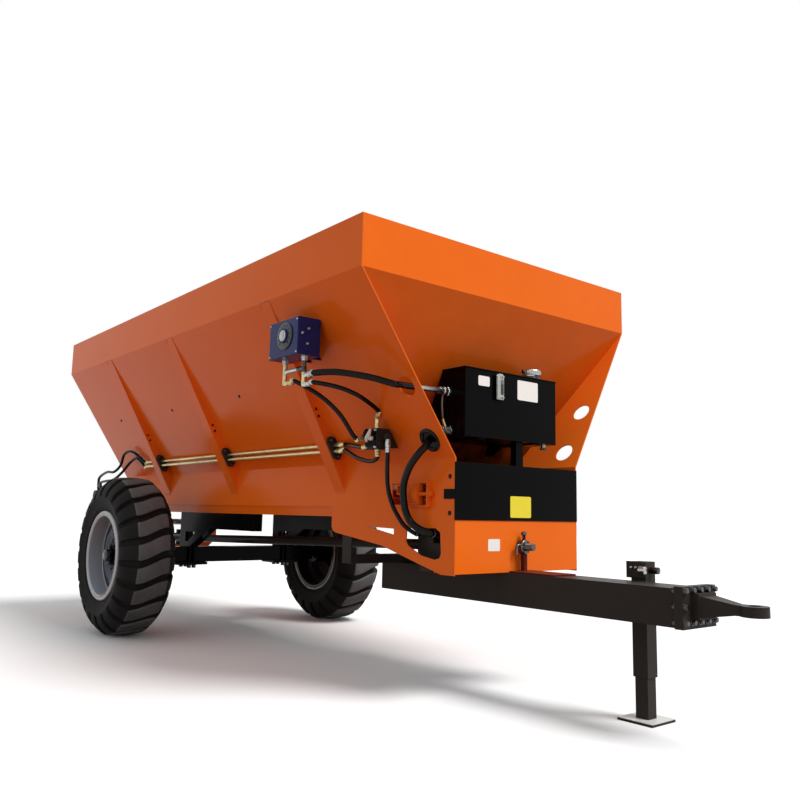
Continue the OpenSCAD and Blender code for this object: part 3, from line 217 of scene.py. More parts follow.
def painted_steel(name, colour, shade, dust, roughness, coat, wave=0.25, edge="#8A8580", gleam=0.3):
    """Enamel in two tones, with dust on top, worn edges, dents as strong as wave, and its gloss."""
    material, tree, shader, place = new_material(name)
    clouds = add(tree, "TexNoise", {"Vector": place, "Scale": per_metre(CLOUD_MM), "Detail": 5.0,
                                    "Roughness": 0.6}).outputs["Fac"]
    specks = add(tree, "TexNoise", {"Vector": place, "Scale": per_metre(SPECK_MM), "Detail": 6.0,
                                    "Roughness": 0.7}).outputs["Fac"]
    tones = add(tree, "Mix", {0: clouds, 6: linear(colour), 7: linear(shade)}, data_type="RGBA").outputs[2]

    facing = add(tree, "SeparateXYZ", {0: add(tree, "NewGeometry").outputs["Normal"]}).outputs["Z"]
    settled = add(tree, "MapRange", {0: facing, 1: 0.35, 2: 1.0, 3: 0.0, 4: 0.32}).outputs[0]
    dusty = add(tree, "Math", {0: settled, 1: specks}, operation="MULTIPLY").outputs[0]
    dusted = add(tree, "Mix", {0: dusty, 6: tones, 7: linear(dust)}, data_type="RGBA").outputs[2]

    soft = add(tree, "Bevel", {"Radius": EDGE_RADIUS}, samples=4).outputs[0]
    true = add(tree, "NewGeometry").outputs["True Normal"]
    bend = add(tree, "VectorMath", {0: soft, 1: true}, operation="DOT_PRODUCT").outputs["Value"]
    rubbed = add(tree, "MapRange", {0: bend, 1: 0.97, 2: 0.80, 3: 0.0, 4: 0.75}).outputs[0]
    patchy = add(tree, "MapRange", {0: specks, 1: 0.45, 2: 0.70}).outputs[0]
    worn = add(tree, "Math", {0: rubbed, 1: patchy}, operation="MULTIPLY").outputs[0]
    finish = add(tree, "Mix", {0: worn, 6: dusted, 7: linear(edge)}, data_type="RGBA").outputs[2]
    tree.links.new(finish, shader.inputs["Base Color"])

    gloss = add(tree, "MapRange", {0: specks, 1: 0.3, 2: 0.75, 3: roughness * 0.8, 4: roughness * 1.3})
    tree.links.new(gloss.outputs[0], shader.inputs["Roughness"])
    sheet = add(tree, "TexNoise", {"Vector": place, "Scale": per_metre(DENT_MM), "Detail": 1.0})
    peel = add(tree, "TexNoise", {"Vector": place, "Scale": per_metre(PEEL_MM), "Detail": 2.0})
    dents = add(tree, "Bump", {"Height": sheet.outputs["Fac"], "Strength": wave, "Distance": DENT_DEPTH,
                               "Normal": soft})
    ripple = add(tree, "Bump", {"Height": peel.outputs["Fac"], "Strength": 0.10, "Distance": PEEL_DEPTH,
                                "Normal": dents.outputs[0]})
    tree.links.new(ripple.outputs[0], shader.inputs["Normal"])
    shader.inputs["Specular IOR Level"].default_value = gleam
    shader.inputs["Coat Weight"].default_value = coat
    shader.inputs["Coat Roughness"].default_value = 0.06
    return material


orange_enamel = painted_steel("orange enamel", "#FA771D", "#F06B17", "#D98E5A", 0.22, 0.02, gleam=0.07)
gloss_black = painted_steel("gloss black enamel", "#080808", "#060606", "#2A2825", 0.2, 0.0,
                            wave=0.12, edge="#2B2926", gleam=0.04)
satin_black = painted_steel("satin black enamel", "#383430", "#2C2926", "#45413B", 0.4, 0.0,
                            wave=0.15, edge="#3D3A36", gleam=0.06)
black_lacquer = painted_steel("black lacquer", "#181817", "#101010", "#3A3733", 0.22, 0.3,
                              wave=0.1, edge="#55524E", gleam=0.5)
wheel_silver = painted_steel("silver wheel paint", "#D8DCDF", "#CACED1", "#B5AFA4", 0.34, 0.04,
                             wave=0.1, edge="#6E6A66", gleam=0.2)
navy_enamel = painted_steel("navy enamel", "#1F2E72", "#182560", "#5C6280", 0.25, 0.05,
                            wave=0.1, edge="#4B5478", gleam=0.15)
red_oxide = painted_steel("red oxide primer", "#641F14", "#4E150C", "#70523F", 0.5, 0.0,
                          wave=0.15, edge="#4B3A34", gleam=0.1)
print("paints:", [paint.name for paint in (orange_enamel, gloss_black, satin_black, black_lacquer,
                                           wheel_silver, navy_enamel, red_oxide)])

# %% [markdown]
# ## Rubber
# Tyre rubber is moulded and matt. Carbon black makes it almost black, and the tops of the lugs, which the
# ground has scuffed, are grey. The distance from the axle tells a lug's top from the rest, so the scuffed
# grey is laid on there. Hose rubber is smoother, wrapped while it cures, which leaves a fine cloth mark.

# %% Tyre and hose rubber
LUG_TOP = 582 * MM
PATCH_MM = 160
ROUND_AXLE = (1, 0, 1)


def distance_from(tree, place, centre, counted):
    """How far a point lies from the line through centre along the one direction that isn't counted."""
    offset = add(tree, "VectorMath", {0: place, 1: tuple(centre)}, operation="SUBTRACT").outputs[0]
    square = add(tree, "VectorMath", {0: offset, 1: counted}, operation="MULTIPLY").outputs[0]
    return add(tree, "VectorMath", {0: square}, operation="LENGTH").outputs["Value"]


def moulded_rubber(name, colour, dust, dust_share, roughness, grain_mm, depth_mm, scuffed=None, gleam=0.1):
    """Rubber with patches of dust and a moulded grain; scuffed is the colour of the lugs' tops."""
    material, tree, shader, place = new_material(name)
    patches = add(tree, "TexNoise", {"Vector": place, "Scale": per_metre(PATCH_MM), "Detail": 6.0,
                                     "Roughness": 0.65}).outputs["Fac"]
    grain = add(tree, "TexNoise", {"Vector": place, "Scale": per_metre(grain_mm),
                                   "Detail": 3.0}).outputs["Fac"]
    dusty = add(tree, "MapRange", {0: patches, 1: 0.35, 2: 0.75, 3: 0.0, 4: dust_share}).outputs[0]
    skin = add(tree, "Mix", {0: dusty, 6: linear(colour), 7: linear(dust)}, data_type="RGBA").outputs[2]
    if scuffed:
        radius = distance_from(tree, place, AXLE, ROUND_AXLE)
        on_top = add(tree, "MapRange", {0: radius, 1: LUG_TOP - 9 * MM, 2: LUG_TOP - 4 * MM}).outputs[0]
        uneven = add(tree, "MapRange", {0: patches, 1: 0.3, 2: 0.7, 3: 0.65, 4: 1.0}).outputs[0]
        shown = add(tree, "Math", {0: on_top, 1: uneven}, operation="MULTIPLY").outputs[0]
        skin = add(tree, "Mix", {0: shown, 6: skin, 7: linear(scuffed)}, data_type="RGBA").outputs[2]
    tree.links.new(skin, shader.inputs["Base Color"])
    matt = add(tree, "MapRange", {0: grain, 1: 0.3, 2: 0.7, 3: roughness - 0.08, 4: roughness + 0.08})
    tree.links.new(matt.outputs[0], shader.inputs["Roughness"])
    pores = add(tree, "Bump", {"Height": grain, "Strength": 0.35, "Distance": depth_mm * MM})
    tree.links.new(pores.outputs[0], shader.inputs["Normal"])
    shader.inputs["IOR"].default_value = 1.52
    shader.inputs["Specular IOR Level"].default_value = gleam
    return material


tyre_rubber = moulded_rubber("moulded tyre rubber", "#1E1E1E", "#2F2E2C", 0.4, 0.74, 9, 1.0, "#6F7477")
hose_rubber = moulded_rubber("wrapped hose rubber", "#090909", "#1C1A18", 0.3, 0.16, 5, 0.2, gleam=0.12)
print("rubbers:", tyre_rubber.name, "and", hose_rubber.name)

# %% [markdown]
# ## Bare and plated metal
# The conveyor's chain and the discs are plain steel, brown in the corners and polished where manure slides.
# The pipes carry yellow zinc plating, which goes patchy between straw and grey. Fittings and caps are bright
# zinc, and the stub is dark with oil. A metal keeps the default IOR, and its colour is what it reflects.

# %% Bare and plated metal
BLOTCH_MM = 90


def bare_metal(name, colour, stain, stain_share, roughness, scratch_mm):
    """A metal with blotches of stain, which are duller than the rest, and fine marks."""
    material, tree, shader, place = new_material(name)
    blotches = add(tree, "TexNoise", {"Vector": place, "Scale": per_metre(BLOTCH_MM), "Detail": 7.0,
                                      "Roughness": 0.7}).outputs["Fac"]
    fine = add(tree, "TexNoise", {"Vector": place, "Scale": per_metre(scratch_mm), "Detail": 4.0})
    stained = add(tree, "MapRange", {0: blotches, 1: 0.42, 2: 0.68, 3: 0.0, 4: stain_share}).outputs[0]
    mixed = add(tree, "Mix", {0: stained, 6: linear(colour), 7: linear(stain)}, data_type="RGBA")
    tree.links.new(mixed.outputs[2], shader.inputs["Base Color"])
    shader.inputs["Metallic"].default_value = 1.0
    rough = add(tree, "MapRange", {0: blotches, 1: 0.35, 2: 0.7, 3: roughness, 4: roughness + 0.25})
    tree.links.new(rough.outputs[0], shader.inputs["Roughness"])
    soft = add(tree, "Bevel", {"Radius": 2 * MM}, samples=4)
    marks = add(tree, "Bump", {"Height": fine.outputs["Fac"], "Strength": 0.2, "Distance": 0.3 * MM,
                               "Normal": soft.outputs[0]})
    tree.links.new(marks.outputs[0], shader.inputs["Normal"])
    return material


worn_steel = bare_metal("rubbed steel", "#8E8B86", "#6A4A34", 0.75, 0.32, 12)
yellow_zinc = bare_metal("yellow zinc plating", "#CDBB8A", "#A08E66", 0.6, 0.26, 8)
bright_zinc = bare_metal("bright zinc plating", "#B4B5B3", "#7E7C75", 0.5, 0.2, 8)
oiled_steel = bare_metal("oiled dark steel", "#6A6560", "#46403A", 0.6, 0.2, 8)
print("metals:", [metal.name for metal in (worn_steel, yellow_zinc, bright_zinc, oiled_steel)])

# %% [markdown]
# ## Finishes that change across a solid
# The wheel is one pressing with two looks: the flange outside is bright silver and the barrel inside is blue
# grey. The barrel is painted darker towards the dish, a painted shade for the light that hardly reaches in, and
# the side towards the machine is painted black up to the flange's edge, a painted shade as well. The distance
# from the axle decides which one shows, and the place across decides how dark it is, so all of it turns with
# the wheel. A copy of the silver paint is the start.

# %% Two-tone wheel
# Radii and places across that bound the barrel and its painted shade, and the black painted shade inboard
BARREL_RADIUS, INBOARD_SHADE_RADIUS = 291 * MM, 320 * MM
BARREL_MOUTH, BARREL_FLOOR, INBOARD_SHADE_FROM, INBOARD_SHADE_FULL = 168 * MM, 60 * MM, -20 * MM, -50 * MM


def copied(material, name):
    """A copy of a finish to paint over, with its tree, its shader, its colour so far and the place."""
    copy = material.copy()
    copy.name = name
    tree = copy.node_tree
    shader = tree.nodes["Principled BSDF"]
    colour = shader.inputs["Base Color"].links[0].from_socket
    return copy, tree, shader, colour, add(tree, "TexCoord").outputs["Object"]


def wheel_paint(side):
    """Silver outside, blue grey with painted shade in the barrel, and a black painted shade on the inboard side.
    """
    material, tree, shader, silver, place = copied(wheel_silver, "silver and grey wheel paint " + side)
    hub_y = abs(joints["wheel_" + side]["pos_m"][1])
    radius = distance_from(tree, place, AXLE, ROUND_AXLE)
    across = add(tree, "SeparateXYZ", {0: place}).outputs["Y"]
    out = add(tree, "Math", {0: across}, operation="ABSOLUTE").outputs[0]
    inside = add(tree, "MapRange", {0: radius, 1: BARREL_RADIUS + 3 * MM,
                                    2: BARREL_RADIUS - 3 * MM}).outputs[0]
    depth = add(tree, "MapRange", {0: out, 1: hub_y + BARREL_MOUTH, 2: hub_y + BARREL_FLOOR}).outputs[0]
    # Painted shade: the barrel's blue grey darkens from its mouth towards the dish
    barrel = add(tree, "Mix", {0: depth, 6: linear("#748298"), 7: linear("#343B49")}, data_type="RGBA")
    shaded = add(tree, "Mix", {0: inside, 6: silver, 7: barrel.outputs[2]}, data_type="RGBA")
    # Painted shade: black on the inboard side, below the flange's edge
    inboard = add(tree, "MapRange", {0: out, 1: hub_y + INBOARD_SHADE_FROM, 2: hub_y + INBOARD_SHADE_FULL}).outputs[0]
    below = add(tree, "MapRange", {0: radius, 1: INBOARD_SHADE_RADIUS + 2 * MM, 2: INBOARD_SHADE_RADIUS - 2 * MM}).outputs[0]
    inboard_painted_shade = add(tree, "Math", {0: inboard, 1: below}, operation="MULTIPLY").outputs[0]
    finish = add(tree, "Mix", {0: inboard_painted_shade, 6: shaded.outputs[2], 7: linear("#1B1A1B")}, data_type="RGBA")
    tree.links.new(finish.outputs[2], shader.inputs["Base Color"])
    return material


wheel_paints = {side: wheel_paint(side) for side in ("right", "left")}
print("wheel paints:", [paint.name for paint in wheel_paints.values()])

# %% [markdown]
# The front wall leans over the oil tank and lies in shade, so its colour carries a painted shade: a dark brown
# that deepens downwards, in uneven blotches, and stays on the outer face, which faces down, so height and the
# way the sheet faces place it.

# %% Front wall with painted shade
SHADE_TOP, SHADE_FOOT, SHADE_LEAST = 2.05, 1.30, 0.22
SHADE_BLOTCH_MM = 130
shaded_front_enamel, tree, shader, clean, place = copied(orange_enamel, "orange enamel with painted shade")
height = add(tree, "SeparateXYZ", {0: place}).outputs["Z"]
lower = add(tree, "MapRange", {0: height, 1: SHADE_TOP, 2: SHADE_FOOT}).outputs[0]
shade_curve = add(tree, "Math", {0: lower, 1: 1.6}, operation="POWER").outputs[0]
spread = add(tree, "MapRange", {0: shade_curve, 3: SHADE_LEAST}).outputs[0]
facing = add(tree, "SeparateXYZ", {0: add(tree, "NewGeometry").outputs["Normal"]}).outputs["Z"]
outer = add(tree, "MapRange", {0: facing, 1: -0.1, 2: -0.3}).outputs[0]
shade_blotches = add(tree, "TexNoise", {"Vector": place, "Scale": per_metre(SHADE_BLOTCH_MM), "Detail": 5.0,
                               "Roughness": 0.65}).outputs["Fac"]
uneven = add(tree, "MapRange", {0: shade_blotches, 1: 0.3, 2: 0.7, 3: 0.8, 4: 1.0}).outputs[0]
on_wall = add(tree, "Math", {0: spread, 1: outer}, operation="MULTIPLY").outputs[0]
painted_shade = add(tree, "Math", {0: on_wall, 1: uneven}, operation="MULTIPLY").outputs[0]
# Painted shade: the wall's orange darkens towards deep brown, most near the foot and on the down-facing face
wall_with_painted_shade = add(tree, "Mix", {0: painted_shade, 6: clean, 7: linear("#240C06")}, data_type="RGBA")
tree.links.new(wall_with_painted_shade.outputs[2], shader.inputs["Base Color"])
print("painted shade from", SHADE_TOP, "down to", SHADE_FOOT, "m")

# %% [markdown]
# The gate and the rod that lifts it are one solid, and only the rod is bare chrome. Its axis stands a little
# behind the gate, so the distance from that line, above the rod's eye, turns paint into polished metal.

# %% Gate with its bright rod
ROD_PLACE, ROD_RADIUS, ROD_LENGTH = at(-1360, 0, 0), 16 * MM, 425 * MM
rod_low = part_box("gate")[1].z - ROD_LENGTH
gate_finish, tree, shader, paint, place = copied(orange_enamel, "orange enamel and chrome rod")
paint_gloss = shader.inputs["Roughness"].links[0].from_socket
radius = distance_from(tree, place, ROD_PLACE, (1, 1, 0))
height = add(tree, "SeparateXYZ", {0: place}).outputs["Z"]
near = add(tree, "Math", {0: radius, 1: ROD_RADIUS + 1 * MM}, operation="LESS_THAN").outputs[0]
above = add(tree, "Math", {0: height, 1: rod_low}, operation="GREATER_THAN").outputs[0]
on_rod = add(tree, "Math", {0: near, 1: above}, operation="MULTIPLY").outputs[0]
bright = add(tree, "Mix", {0: on_rod, 6: paint, 7: linear("#C4C6C7")}, data_type="RGBA")
polished = add(tree, "Mix", {0: on_rod, 2: paint_gloss, 3: 0.1})
tree.links.new(bright.outputs[2], shader.inputs["Base Color"])
tree.links.new(polished.outputs[0], shader.inputs["Roughness"])
tree.links.new(on_rod, shader.inputs["Metallic"])
print("chrome within", round(ROD_RADIUS + 1 * MM, 3), "m of the rod's axis")

# %% [markdown]
# ## Finish of each solid
# The record names a finish for every solid, so most of them are dressed by one lookup. A few solids show a
# different one from the rest of their group, and they are named one by one.

# %% Dress the solids
FINISHES = {
    "orange_enamel": orange_enamel, "gloss_black": gloss_black, "satin_black": satin_black,
    "wheel_silver": wheel_silver, "navy_enamel": navy_enamel, "red_oxide": red_oxide,
    "tyre_rubber": tyre_rubber, "hose_rubber": hose_rubber,
    "worn_steel": worn_steel, "yellow_zinc": yellow_zinc,
}
OTHER_FINISHES = {
    "rim_right": wheel_paints["right"], "rim_left": wheel_paints["left"],
    "hopper_front": shaded_front_enamel, "gate": gate_finish, "tank_fittings": bright_zinc,
    "driveline": satin_black, "idler_shaft": orange_enamel,
}
for part in frame["record"]["subparts"]:
    solid = frame["nodes"][part["node"]]
    finish = OTHER_FINISHES.get(part["node"], FINISHES[part["material_slot"]])
    solid.data.materials.clear()
    solid.data.materials.append(finish)
print("dressed", len(frame["nodes"]), "solids")

# %% [markdown]
# ## A small kit for shapes
# Round things need angles that part a turn evenly, spokes in the plane of the wheels or in a level plane,
# and two directions square to an axis.

# %% Angles and spokes


def around(count, first=0.0):
    """Angles that part a full turn evenly; first moves them on by that many steps."""
    return [2 * math.pi * (k + first) / count for k in range(count)]


def wheel_spoke(angle):
    """A direction in the upright plane that the wheels turn in."""
    return Vector((math.cos(angle), 0, math.sin(angle)))


def level_spoke(angle):
    """A direction in the level plane."""
    return Vector((math.cos(angle), math.sin(angle), 0))


def axes_along(axis):
    """Two directions square to an axis, and the axis itself."""
    along = Vector(axis).normalized()
    helper = UP if abs(along.z) < 0.9 else AHEAD
    across = along.cross(helper).normalized()
    return across, along.cross(across), along


print("six corners stand", round(math.degrees(around(6)[1])), "degrees apart")

# %% [markdown]
# Turned parts, tubes and hexagon heads make up nearly all the small pieces. The class below collects corners
# and faces and turns them into one object that rides on a body, so a hundred bolts are one mesh.

# %% Shape kit


class Shape:
    """Corners and faces of one piece."""

    def __init__(self):
        self.corners = []
        self.faces = []

    def rings(self, rings, closed=False):
        """Joins rings of corners in turn; the ends are capped unless the row of rings is closed."""
        start, size = len(self.corners), len(rings[0])
        for ring in rings:
            self.corners.extend(tuple(corner) for corner in ring)
        for i in range(len(rings) if closed else len(rings) - 1):
            low, high = start + i * size, start + (i + 1) % len(rings) * size
            for k in range(size):
                self.faces.append((low + k, low + (k + 1) % size, high + (k + 1) % size, high + k))
        if not closed:
            self.faces.append(tuple(range(start + size - 1, start - 1, -1)))
            self.faces.append(tuple(range(start + (len(rings) - 1) * size, start + len(rings) * size)))
        return self

    def turned(self, outline, centre, axis, steps=32, closed=False):
        """A lathe shape: the outline lists radius and height along the axis, in millimetres."""
        across, third, along = axes_along(axis)
        return self.rings([[Vector(centre) + along * height * MM
                            + (across * math.cos(a) + third * math.sin(a)) * radius * MM
                            for a in around(steps)] for radius, height in outline], closed)

    def tube(self, path, radius_mm, sides=12):
        """A round tube along a path; the radius is one number or one for each point."""
        radii = radius_mm if isinstance(radius_mm, list) else [radius_mm] * len(path)
        rings, across = [], None
        for i, point in enumerate(path):
            along = (path[min(i + 1, len(path) - 1)] - path[max(i - 1, 0)]).normalized()
            if across is None:
                across = axes_along(along)[0]
            else:
                across = (across - along * across.dot(along)).normalized()
            third = along.cross(across)
            rings.append([point + (across * math.cos(a) + third * math.sin(a)) * radii[i] * MM
                          for a in around(sides)])
        return self.rings(rings)

    def plate(self, centre, u, v, width, height, thickness, corner=0):
        """A flat plate in millimetres, spanned by u and v, with its corners cut round."""
        u, v = Vector(u).normalized(), Vector(v).normalized()
        out = u.cross(v)
        outline = []
        for i, (sx, sy) in enumerate(((1, 1), (-1, 1), (-1, -1), (1, -1))):
            middle = (sx * (width / 2 - corner), sy * (height / 2 - corner))
            for k in range(5 if corner else 1):
                a = math.pi / 2 * (i + k / 4)
                outline.append((middle[0] + corner * math.cos(a), middle[1] + corner * math.sin(a)))
        return self.rings([[Vector(centre) + (u * x + v * y + out * t) * MM for x, y in outline]
                           for t in (0, thickness)])

    def bolt(self, place, axis, size):
        """A hexagon head of that width across flats on its washer, standing along the axis."""
        washer, low, point = size * 0.68, size * 0.14, size / math.sqrt(3)
        self.turned([(washer, 0), (washer, size * 0.11), (size * 0.63, low)], place, axis, 20)
        return self.turned([(point, low), (point, low + size * 0.5), (point * 0.86, low + size * 0.64)],
                           place, axis, 6)

    def piece(self, name, material, body, slot=None, smooth_deg=35):
        """The finished object, riding on a body."""
        mesh = bpy.data.meshes.new(name)
        mesh.from_pydata(self.corners, [], self.faces)
        mesh.materials.append(material)
        mesh.validate()
        mesh.shade_smooth()
        mesh.set_sharp_from_angle(angle=math.radians(smooth_deg))
        made = bpy.data.objects.new(name, mesh)
        bpy.context.scene.collection.objects.link(made)
        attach(made, body)
        print(name, "has", sum(len(f) - 2 for f in self.faces), "triangles")
        return made


print("a bolt head with its washer has", len(Shape().bolt(AXLE, UP, 10).faces), "faces")

# %% [markdown]
# ## Tyres
# A tyre's casing is a smooth ring, and on this one the lugs cross the flat tread in a flat S and then run
# down the shoulders towards the wheel's middle. The mesh is a grid: columns follow each lug's foot, flank,
# rounded edge and top, rows run from bead to bead, and the S turns the rows of one side ahead and those of
# the other side back. That gives crisp lugs from few faces. Both tyres have the same hand.

# %% Tyres
LUGS, SLANT, FLAT_HALF = 22, 0.22, 114
# Half of the cross-section: place across and radius on a lug, then the same for the groove beside it
HALF_TREAD = [
    (0, 588, 0, 556), (30, 587.6, 30, 555.6), (57, 586.5, 57, 554.5), (79, 585, 79, 553), (99, 583, 96, 550),
    (109, 581.8, 104, 547), (114, 579, 109, 544), (121, 571.5, 114, 538), (138, 557, 124, 526),
    (153, 543, 135, 513), (169, 526, 148, 497), (183, 506, 162, 480), (192, 488, 173, 466),
    (198, 470, 184, 453), (202, 450, 195, 443), (203.5, 440, 202, 438),
]
# The smooth side from the lugs' ends to the bead: place across and radius
SIDE_WALL = [
    (203.5, 436), (203.5, 430), (201, 426), (197, 412), (190, 392), (182, 372), (183, 364), (178, 357),
    (170, 346), (165, 336), (150, 307.5),
]
# Around one lug, in parts of the pitch: place and how far up the flank
LUG_STEPS = [
    (-0.342, 0.55), (-0.332, 0.88), (-0.32, 0.98), (-0.305, 1), (-0.1, 1), (0.1, 1), (0.305, 1), (0.32, 0.98),
    (0.332, 0.88), (0.342, 0.55), (0.362, 0.08), (0.378, 0), (0.5, 0), (0.622, 0), (0.638, 0.08),
]


def tyre(side):
    """The casing of one wheel, which stands for its plain solid."""
    hub = Vector(joints["wheel_" + side]["pos_m"])
    section = HALF_TREAD + [(across, radius, across, radius) for across, radius in SIDE_WALL]
    rows = [(-top, radius, -low, groove) for top, radius, low, groove in section[:0:-1]] + section
    rings = []
    for lug in range(LUGS):
        for step, rise in LUG_STEPS:
            ring = []
            for top, radius, low, groove in rows:
                share = max(-1, min(1, top / FLAT_HALF))
                ahead = SLANT * (1.5 * share - 0.5 * share ** 3)
                angle = 2 * math.pi / LUGS * (lug + step + ahead)
                across = low + (top - low) * rise
                r = groove + (radius - groove) * rise
                ring.append(hub + Vector((r * math.sin(angle), across, -r * math.cos(angle))) * MM)
            rings.append(ring)
    casing = Shape().rings(rings, closed=True)
    made = casing.piece("tyre_" + side + "_casing", tyre_rubber, "wheel_" + side, "tyre_rubber", 40)
    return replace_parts(made, "tyre_" + side)


for side in ("right", "left"):
    tyre(side)

# %% [markdown]
# ## Hoses
# The hoses are rubber tubes held by a fitting at each end. Their routes are the ones of the solids: a smooth
# cubic curve through a few places.

# %% Hose routes
SUCTION_HOSE, RETURN_HOSE, SMALL_HOSE = 19, 17, 12


def smooth_path(points, steps=8):
    """A cubic curve through places in millimetres, as points of the model."""
    p = [at(*point) for point in points]
    path = []
    for i in range(len(p) - 1):
        a, b, c, d = p[max(i - 1, 0)], p[i], p[i + 1], p[min(i + 2, len(p) - 1)]
        for k in range(steps):
            t = k / steps
            path.append(0.5 * (2 * b + (c - a) * t + (2 * a - 5 * b + 4 * c - d) * t * t
                               + (3 * b - a - 3 * c + d) * t ** 3))
    return path + [p[-1]]


# Each hose: its radius, what its first and its last ferrule are made of, and its route
FRONT_HOSES = [
    (RETURN_HOSE, "bright", None, [
        (2643, -1028.7, 1655), (2688, -1028.7, 1655), (2800.6, -969.2, 1653.3), (2938.5, -866.8, 1623.9),
        (3042.5, -792.2, 1586.8), (3037, -747.5, 1588.2)]),
    (SMALL_HOSE, "yellow", "yellow", [
        (2460, -1028.7, 1630), (2505, -1028.7, 1630), (2606, -933.1, 1551), (2643, -831.3, 1460.5),
        (2650, -734.6, 1345), (2650, -689.6, 1345)]),
    (SMALL_HOSE, "bright", "yellow", [
        (2643, -1028.7, 1605), (2688, -1028.7, 1605), (2757.2, -926.3, 1584), (2781.4, -808.8, 1548),
        (2755, -664.6, 1490), (2755, -664.6, 1445)]),
    (SMALL_HOSE, "bright", "black", [
        (2825, -644.6, 1300), (2825, -644.6, 1255), (2806, -630, 1185), (2773, -600, 1106),
        (2757, -572, 1042), (2762, -552, 985), (2789, -536, 929), (2825, -520, 880), (2856, -475, 842),
        (2856, -430, 842)]),
    (SUCTION_HOSE, "black", "black", [
        (3010, -410, 1385.2), (3010, -455, 1385.2), (3036, -525.4, 1340.2), (3045, -575.4, 1285.2),
        (3030, -604.4, 1248.2), (2967, -606, 1189), (2908, -592, 1120), (2879, -577, 1065),
        (2870, -564, 1002), (2878, -553, 946), (2905, -538, 895), (2951, -514, 862), (2990, -475, 846),
        (2990, -430, 846)]),
    (SMALL_HOSE, "yellow", "yellow", [
        (2300, -577.2, 1300), (2345, -577.2, 1300), (2495.8, -607.6, 1251), (2648, -631.1, 1222),
        (2735, -644.6, 1235), (2735, -644.6, 1280)]),
    (SMALL_HOSE, "yellow", "yellow", [
        (2300, -577.2, 1335), (2345, -577.2, 1335), (2475, -610.9, 1317.5), (2605, -644.6, 1300),
        (2650, -644.6, 1300)]),
]
REAR_HOSES = [
    (SMALL_HOSE, "yellow", "black", [
        (-600, -577.2, 1300), (-645, -577.2, 1300), (-740, -608.8, 1370), (-850, -624.9, 1345),
        (-930, -669.2, 1250), (-1070, -689.2, 1190), (-1220, -699.2, 1180), (-1355, -701, 1167),
        (-1355, -701, 1127)]),
    (SMALL_HOSE, "yellow", "black", [
        (-600, -577.2, 1335), (-645, -577.2, 1335), (-760, -643.9, 1425), (-890, -669.5, 1415),
        (-975, -669.2, 1315), (-1070, -689.2, 1260), (-1220, -699.2, 1260), (-1405, -701, 1212),
        (-1405, -701, 1127)]),
]
print(len(FRONT_HOSES), "hoses at the front,", len(REAR_HOSES), "at the rear")

# %% [markdown]
# The tube is round with 16 sides, and every end gets what a hose shop presses on: a steel ferrule with crimp
# grooves and the hexagon nut that turns on the fitting. Ferrules come plated bright or yellow, or lacquered.

# %% Hoses with their ferrules
FITTING_METALS = {"bright": (bright_zinc, "yellow_zinc"), "yellow": (yellow_zinc, "yellow_zinc"),
                  "black": (black_lacquer, "gloss_black")}


def ferrule_outline(r):
    """A crimped sleeve over a hose of radius r, from the fitting's end."""
    return [(r + 1, 0), (r + 2.6, 2), (r + 2.6, 11), (r + 1.4, 13), (r + 2.6, 15), (r + 2.6, 24),
            (r + 1.4, 26), (r + 2.6, 28), (r + 2.6, 38), (r + 0.4, 41)]


def hoses(name, routes, node):
    """The rubber of all the hoses in one piece, and one piece of ferrules for each metal."""
    rubber, sleeves = Shape(), {metal: Shape() for metal in FITTING_METALS}
    for r, first, last, route in routes:
        path = smooth_path(route)
        rubber.tube(path, r, 16)
        ends = ((first, path[0], path[2] - path[0]), (last, path[-1], path[-3] - path[-1]))
        for metal, end, inward in ends:
            if metal:
                nut = r + 4.5
                sleeves[metal].turned(ferrule_outline(r), end, inward, 24)
                sleeves[metal].turned([(nut, -10), (nut, 3), (nut * 0.9, 6)], end, inward, 6)
        length = sum((b - a).length for a, b in zip(path, path[1:]))
        print(name, "radius", r, "mm, length", round(length, 2), "m")
    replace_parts(rubber.piece(name, hose_rubber, "root", "hose_rubber"), node)
    for metal, shape in sleeves.items():
        if shape.faces:
            material, slot = FITTING_METALS[metal]
            shape.piece(name + "_ferrules_" + metal, material, "root", slot)


hoses("front_hoses", FRONT_HOSES, "hoses_front")
hoses("rear_hoses", REAR_HOSES, "hoses_rear")

# %% [markdown]
# ## Wheels
# The dish is bolted to the hub by ten studs, the tyre's valve comes through the rim, two beads of weld run
# round inside, and a grooved ring finishes the outer flange. All of it turns with the wheel, so it rides
# on it. Places across are counted from the wheel's middle outwards.

# %% Wheel fittings
STUDS, STUD_CIRCLE, STUD_NUT = 10, 112, 27
CAP_BOLTS, CAP_CIRCLE = 6, 52
DISH_FACE, HUB_FACE, RIM_FACE = 67, 129, 172
VALVE_OUT, VALVE_REACH = 95, 284
# Weld beads: radius of the ring, place across and half the bead's thickness
WHEEL_WELDS = [(251.5, 47, 6), (288.5, 66, 4)]


